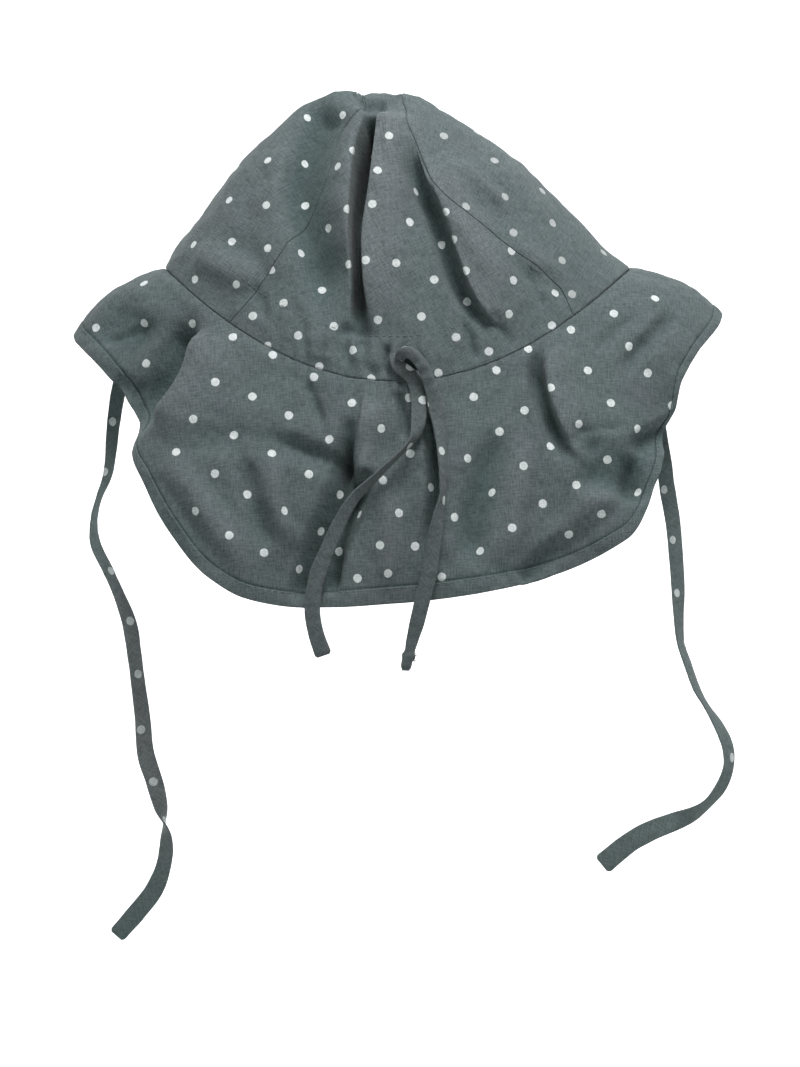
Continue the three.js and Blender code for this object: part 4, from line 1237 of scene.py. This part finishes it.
BRIM_DOTS = [
    (0, 0, -135.0, -104.4), (1, 0, -113.3, -103.3), (2, 0, -91.5, -103.5), (3, 0, -73.2, -108.9),
    (4, 0, -54.0, -117.0), (5, 0, -35.4, -127.9), (6, 0, -19.9, -137.9), (8, 0, 7.2, -161.5),
    (10, 0, 26.6, -190.1), (11, 0, 36.8, -204.4), (1, -1, -112.0, -122.0), (3, -1, -79.6, -129.2),
    (5, -1, -46.7, -143.7), (9, -1, 3.1, -188.5), (3, -2, -90.7, -145.5), (5, -2, -55.7, -160.7),
    (7, -2, -24.0, -179.4), (9, -2, -6.5, -201.7), (3, -3, -98.7, -160.4), (5, -3, -65.1, -178.8),
    (7, -3, -32.5, -196.5), (4, -4, -89.8, -187.0), (6, -4, -58.3, -205.7), (7, 1, 5.2, -137.2),
    (9, 1, 32.4, -163.9), (11, 1, 52.5, -193.8), (8, 2, 34.0, -136.5), (9, 2, 47.5, -150.9),
    (11, 2, 65.9, -183.9), (8, 3, 46.0, -124.1), (10, 3, 69.5, -157.9), (12, 3, 92.8, -188.8),
    (9, 4, 70.1, -131.4), (11, 4, 94.6, -164.5), (8, 5, 79.0, -105.3), (10, 5, 96.7, -138.2),
    (8, 6, 97.8, -98.0), (10, 6, 114.0, -125.2), (8, 7, 117.1, -91.0), (9, 6, 105.8, -113.9),
    (9, 5, 86.6, -123.2), (4, -2, -72.0, -153.1), (6, -1, -29.7, -154.4), (4, -3, -81.0, -171.0),
    (6, -2, -38.4, -169.6), (6, -3, -48.6, -187.2), (5, -4, -73.8, -196.7), (7, -4, -42.2, -214.0),
    (7, 0, -6.0, -151.1), (8, -1, -3.9, -172.8), (8, -2, -15.7, -188.5), (10, -1, 9.8, -202.6),
    (9, -3, -15.1, -217.4), (10, -2, -3.9, -216.2), (8, -3, -24.5, -206.0), (10, 1, 42.3, -178.1),
    (11, -1, 21.0, -215.8), (10, 2, 58.2, -166.6), (11, 3, 80.5, -174.7), (11, 5, 108.8, -151.2),
    (12, 4, 107.5, -178.7), (12, 2, 77.0, -198.0), (9, 0, 16.4, -176.1), (1, 1, -113.4, -84.3),
]
# Places across and up where a crease or a seam hides a dot.
TUCKED_DOTS = [
    (-98.5, -125.5), (-108.9, -141.0), (-113.9, -155.8), (-105.2, -177.9), (-16.2, -162.3),
    (-31.8, -222.2), (62.7, -208.9), (124.7, -105.4), (131.2, -86.4), (103.6, -81.1), (72.7, -93.8),
    (-0.4, -6.5), (-9.9, -3.4), (28.7, -35.4), (14.1, -4.6), (-28.5, -26.4), (-32.1, -45.0),
    (-14.6, -45.4), (-16.0, -54.2), (-17.6, -74.4), (-15.8, -99.1), (141.1, -100.4), (97.2, -82.2),
    (-7.1, -5.3), (-73.3, -101.1), (18.2, -42.0),
]


def face_means(points):
    """The mean of the four corners of each face of a grid."""
    mean = (points[:-1, :-1] + points[1:, :-1] + points[1:, 1:] + points[:-1, 1:]) / 4
    return mean.reshape(-1, points.shape[-1])


def cloth_panel(node, grid, shallow, lattice, relief, bare):
    """One panel of cloth from a grid of points, with flat coordinates from a copy with shallower folds."""
    rows, columns = grid.shape[:2]
    faces = grid_faces(rows, columns)
    name = "linen_" + node
    piece = add_mesh(name, shallow.reshape(-1, 3), faces, [OUTSIDE[node], INSIDE],
                     np.zeros((len(faces) * 4, 2)))
    layouts, region = lattice(piece, face_means(grid))
    dots = printed_dots(layouts, region, grid_corners(grid).reshape(-1, 4, 3))
    piece.data.uv_layers[CLOTH_UV].data.foreach_set("uv", (layouts[0][0] * MM).ravel())
    piece.data.uv_layers.new(name=DOT_UV).data.foreach_set("uv", (dots * MM).ravel())
    piece.data.vertices.foreach_set("co", (grid * MM).ravel())
    piece.data.attributes.new(PAINTED_LIGHT_AND_SHADE, "FLOAT", "POINT").data.foreach_set("value", relief.ravel())
    piece.data.attributes.new(BARE, "FLOAT", "POINT").data.foreach_set("value", bare.ravel())
    piece.data.update()
    close_ridge(piece)
    wall = piece.modifiers.new("wall", "SOLIDIFY")
    wall.thickness = CLOTH * MM
    wall.offset = -1.0
    wall.material_offset = 1
    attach(piece, "root")
    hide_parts(node)
    return piece


def close_ridge(piece):
    """Joins the points of a panel that lie in the same place, where front and back meet at the top."""
    shape = bmesh.new()
    shape.from_mesh(piece.data)
    bmesh.ops.remove_doubles(shape, verts=shape.verts, dist=0.01 * MM)
    shape.to_mesh(piece.data)
    shape.free()


def one_lattice(dots, corners=None):
    """One layout of dots for a whole panel, on the given flat coordinates or on its unwrapped ones."""
    def fit(piece, centres):
        flat = flatten(piece) if corners is None else corners
        whole = np.ones(len(flat), bool)
        return [lattice_fit(flat, centres, whole, dots)], np.zeros(len(flat), int)
    return fit


def right_of(line, points):
    """How far places lie to the right of a line, from 0 to 1 over a few millimetres."""
    order = np.argsort(line["z"])
    x = np.interp(points[..., 2], np.array(line["z"], float)[order], np.array(line["x"], float)[order])
    return smoothstep(0.5 + (points[..., 0] - x) / (2 * TURNING))


def grid_corners(values):
    """The values of a grid at the four corners of each of its faces."""
    return np.stack([values[:-1, :-1], values[1:, :-1], values[1:, 1:], values[:-1, 1:]], axis=2)


# Lines down the middle panel where its rows of dots turn, because cloth is folded away there.
TURN_IN_CREVICE = {
    "x": (-7.5, -13, -16, -17.5, -16, -13, -8, -3),
    "z": (-7, -27, -47, -68, -90, -106, -116, -130),
}
TURN_IN_OVERLAP = {
    "x": (5, 11.5, 15.5, 20, 24.6, 28.7, 34, 41, 46),
    "z": (-16, -33, -45, -55, -69, -81, -92, -101, -130),
}
ONE_LAYOUT = 0.9


def centre_lattice(plain):
    """The middle panel's three layouts of dots: its middle, left of its crevice, and right of its overlap."""
    at_back = smoothstep(-plain[..., 1] / (3 * TURNING))
    left = at_back * (1 - right_of(TURN_IN_CREVICE, plain))
    right = at_back * right_of(TURN_IN_OVERLAP, plain)
    shares = face_means(np.stack([1 - left - right, left, right], axis=-1))

    def fit(piece, centres):
        corners = flatten(piece)
        tables = (CENTRE_MIDDLE_DOTS, CENTRE_LEFT_DOTS, CENTRE_RIGHT_DOTS)
        layouts = []
        for k, dots in enumerate(tables):
            layouts.append(lattice_fit(corners, centres, shares[:, k] > ONE_LAYOUT, dots))
        return layouts, shares.argmax(axis=1)
    return fit


def brim_ring(degrees, from_rim, moves):
    """The brim is cut as part of a flat ring. Its flat coordinates go along with cloth that leans over."""
    angle = np.radians(degrees)
    rim = plain_crown(angle, np.full_like(angle, RIM))
    run = run_along(rim)
    turn = (run - run[len(run) // 2]) / BRIM_CUT_RADIUS
    radius = BRIM_CUT_RADIUS + from_rim
    over, up = moves[..., 1], moves[..., 2]
    u = radius * np.sin(turn) + over * np.cos(turn) - up * np.sin(turn)
    v = -radius * np.cos(turn) + over * np.sin(turn) + up * np.cos(turn)
    return np.stack([u, v], axis=-1)


# One stitch: its size, and its height and thickness along it as shares of its thickness.
STITCH_SIZE = {"length": 2.3, "gap": 0.9, "thickness": 0.28}
STITCH_SHAPE = table("along lift fat", (0.0, -0.55, 0.45), (0.18, 0.25, 0.9), (0.5, 0.45, 1.0),
                     (0.82, 0.25, 0.9), (1.0, -0.55, 0.45))


def stitch_row(name, points, normals):
    """A row of thread stitches along a line of places on the cloth."""
    run = run_along(points)
    length, gap, thickness = STITCH_SIZE["length"], STITCH_SIZE["gap"], STITCH_SIZE["thickness"]
    lift = column(STITCH_SHAPE, "lift")[:, None] * thickness
    fat = column(STITCH_SHAPE, "fat") * thickness / 2

    def at(values, place):
        return np.stack([np.interp(place, run, values[:, k]) for k in range(3)], axis=-1)

    verts, faces = [], []
    for start in np.arange(gap, run[-1] - length, length + gap):
        place = start + column(STITCH_SHAPE, "along") * length
        centre = at(points, place)
        out = unit(at(normals, place))
        across = unit(np.cross(unit(np.gradient(centre, axis=0)), out))
        add_thread(verts, faces, centre + out * lift, out, across, fat)
    piece = add_mesh(name, verts, faces, [STITCH])
    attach(piece, "root")
    return piece


def level_line(points, level_field, level):
    """The line on a grid where a field that changes down its columns has the given level."""
    normals = grid_normals(points)
    line, out = [], []
    for j in range(points.shape[1]):
        order = np.argsort(level_field[:, j])
        field = level_field[order, j]
        line.append([np.interp(level, field, points[order, j, k]) for k in range(3)])
        out.append([np.interp(level, field, normals[order, j, k]) for k in range(3)])
    return np.array(line), np.array(out)


def with_allowance(grid, top):
    return turned_in(turned_in(grid, 1, True, True), 0, top, True)


# Points down and across each panel of the crown, and down, across the back and across the front of the brim.
CENTRE_GRID = (110, 140)
SIDE_GRID = (90, 90)
BRIM_GRID = (64, 190, 50)


def build_crown():
    centre = centre_panel(*CENTRE_GRID)
    panels = {"crown_centre": centre, "crown_left": side_panel(-1, *SIDE_GRID),
              "crown_right": side_panel(1, *SIDE_GRID)}
    lattices = {
        "crown_centre": centre_lattice(with_allowance(centre["plain"], True)),
        "crown_left": one_lattice(CROWN_LEFT_DOTS),
        "crown_right": one_lattice(CROWN_RIGHT_DOTS),
    }
    for node, panel in panels.items():
        top = node == "crown_centre"
        turn = len(TURN_IN)
        relief = np.pad(panel["relief"], ((turn if top else 0, turn), (turn, turn)), mode="edge")
        cloth_panel(node, with_allowance(panel["cloth"], top), with_allowance(panel["shallow"], top),
                    lattices[node], relief, np.zeros_like(relief))
    half = len(centre["cloth"]) // 2
    back = {key: grid[half:] for key, grid in centre.items()}
    front = {key: grid[:half + 1][::-1, ::-1] for key, grid in centre.items()}
    lines = {"back": back, "front": front, "left": panels["crown_left"], "right": panels["crown_right"]}
    for name, panel in lines.items():
        line, out = level_line(panel["cloth"], panel["from_rim"], CASING_STITCH)
        stitch_row("casing_stitches_" + name, line, out)


def build_brim():
    outer, whole, ring, relief, bare = brim_panel(*BRIM_GRID)
    cloth = turned_in(whole, 0, True, False)
    ring = np.concatenate([np.repeat(ring[:1], len(TURN_IN), axis=0), ring])
    relief = np.pad(relief, ((len(TURN_IN), 0), (0, 0)), mode="edge")
    bare = np.pad(bare, ((len(TURN_IN), 0), (0, 0)), mode="edge")
    lattice = one_lattice(BRIM_DOTS, grid_corners(ring).reshape(-1, 4, 2))
    cloth_panel("brim", cloth, cloth, lattice, relief, bare)
    normals = grid_normals(outer)
    row = len(outer) - len(HEM_ROWS) + int(np.argmin(np.abs(HEM_ROWS - HEM_STITCH)))
    stitch_row("hem_stitches", outer[row], normals[row])


build_crown()
build_brim()

# Stage: one pale sweep of floor and backdrop that glows far behind the hat, one soft light and a pale sky.
FLOOR_Z = -1.0
SWEEP_Y = 8.0
SWEEP_RADIUS = 2.0
SWEEP_TOP = 14.0
STAGE_HALF = 18.0
SWEEP_STEPS = 12
PAPER_LIGHT = (0.93, 0.93, 0.93, 1.0)
PAPER_DARK = (0.90, 0.90, 0.90, 1.0)
WHITE = (1.0, 1.0, 1.0, 1.0)
GLOW_FROM = 0.5
GLOW_FULL = 0.9
KEY_PLACE = (0.14, -0.45, 0.78)
KEY_AIM = (0.0, 0.0, -0.15)
KEY_SIZE = 0.45
KEY_POWER = 10.5
SKY = (0.92, 1.0, 0.99, 1.0)
SKY_BELOW = 0.03
SKY_ABOVE = 0.33


def make_stage():
    profile = [(-STAGE_HALF, FLOOR_Z), (SWEEP_Y - SWEEP_RADIUS, FLOOR_Z)]
    for k in range(1, SWEEP_STEPS + 1):
        turn = math.radians(90.0 * k / SWEEP_STEPS)
        profile.append((SWEEP_Y - SWEEP_RADIUS + SWEEP_RADIUS * math.sin(turn),
                        FLOOR_Z + SWEEP_RADIUS * (1 - math.cos(turn))))
    profile.append((SWEEP_Y, SWEEP_TOP))
    verts = [(side * STAGE_HALF, y, z) for y, z in profile for side in (-1, 1)]
    faces = [(2 * k, 2 * k + 1, 2 * k + 3, 2 * k + 2) for k in range(len(profile) - 1)]
    mesh = bpy.data.meshes.new("stage_sweep")
    mesh.from_pydata(verts, [], faces)
    mesh.polygons.foreach_set("use_smooth", np.ones(len(mesh.polygons), bool))
    n = Nodes("stage_paper")
    grain = n.add("ShaderNodeTexNoise", {"Scale": 40.0})[0]
    n.put(n.shader.inputs["Base Color"], n.mix(grain, PAPER_DARK, PAPER_LIGHT))
    n.put(n.shader.inputs["Roughness"], 0.95)
    depth = n.add("ShaderNodeSeparateXYZ", {0: n.add("ShaderNodeTexCoord")["Object"]})[1]
    n.put(n.shader.inputs["Emission Color"], WHITE)
    n.put(n.shader.inputs["Emission Strength"], n.range(depth, GLOW_FROM, GLOW_FULL))
    mesh.materials.append(n.material)
    sweep = bpy.data.objects.new("stage_sweep", mesh)
    bpy.context.collection.objects.link(sweep)


def make_lights():
    data = bpy.data.lights.new("key", "AREA")
    data.size = KEY_SIZE
    data.energy = KEY_POWER
    light = bpy.data.objects.new("key", data)
    light.location = KEY_PLACE
    light.rotation_euler = (Vector(KEY_AIM) - Vector(KEY_PLACE)).to_track_quat("-Z", "Y").to_euler()
    bpy.context.collection.objects.link(light)
    world = bpy.data.worlds.new("studio")
    world.use_nodes = True
    tree = world.node_tree
    way = tree.nodes.new("ShaderNodeTexCoord").outputs["Generated"]
    height = tree.nodes.new("ShaderNodeSeparateXYZ")
    tree.links.new(way, height.inputs[0])
    ramp = tree.nodes.new("ShaderNodeMapRange")
    tree.links.new(height.outputs[2], ramp.inputs[0])
    for socket, value in zip(ramp.inputs[1:5], (-1.0, 1.0, SKY_BELOW, SKY_ABOVE)):
        socket.default_value = value
    sky = tree.nodes["Background"]
    sky.inputs["Color"].default_value = SKY
    tree.links.new(ramp.outputs[0], sky.inputs["Strength"])
    bpy.context.scene.world = world
    bpy.context.scene.view_settings.view_transform = "Standard"


make_stage()
make_lights()
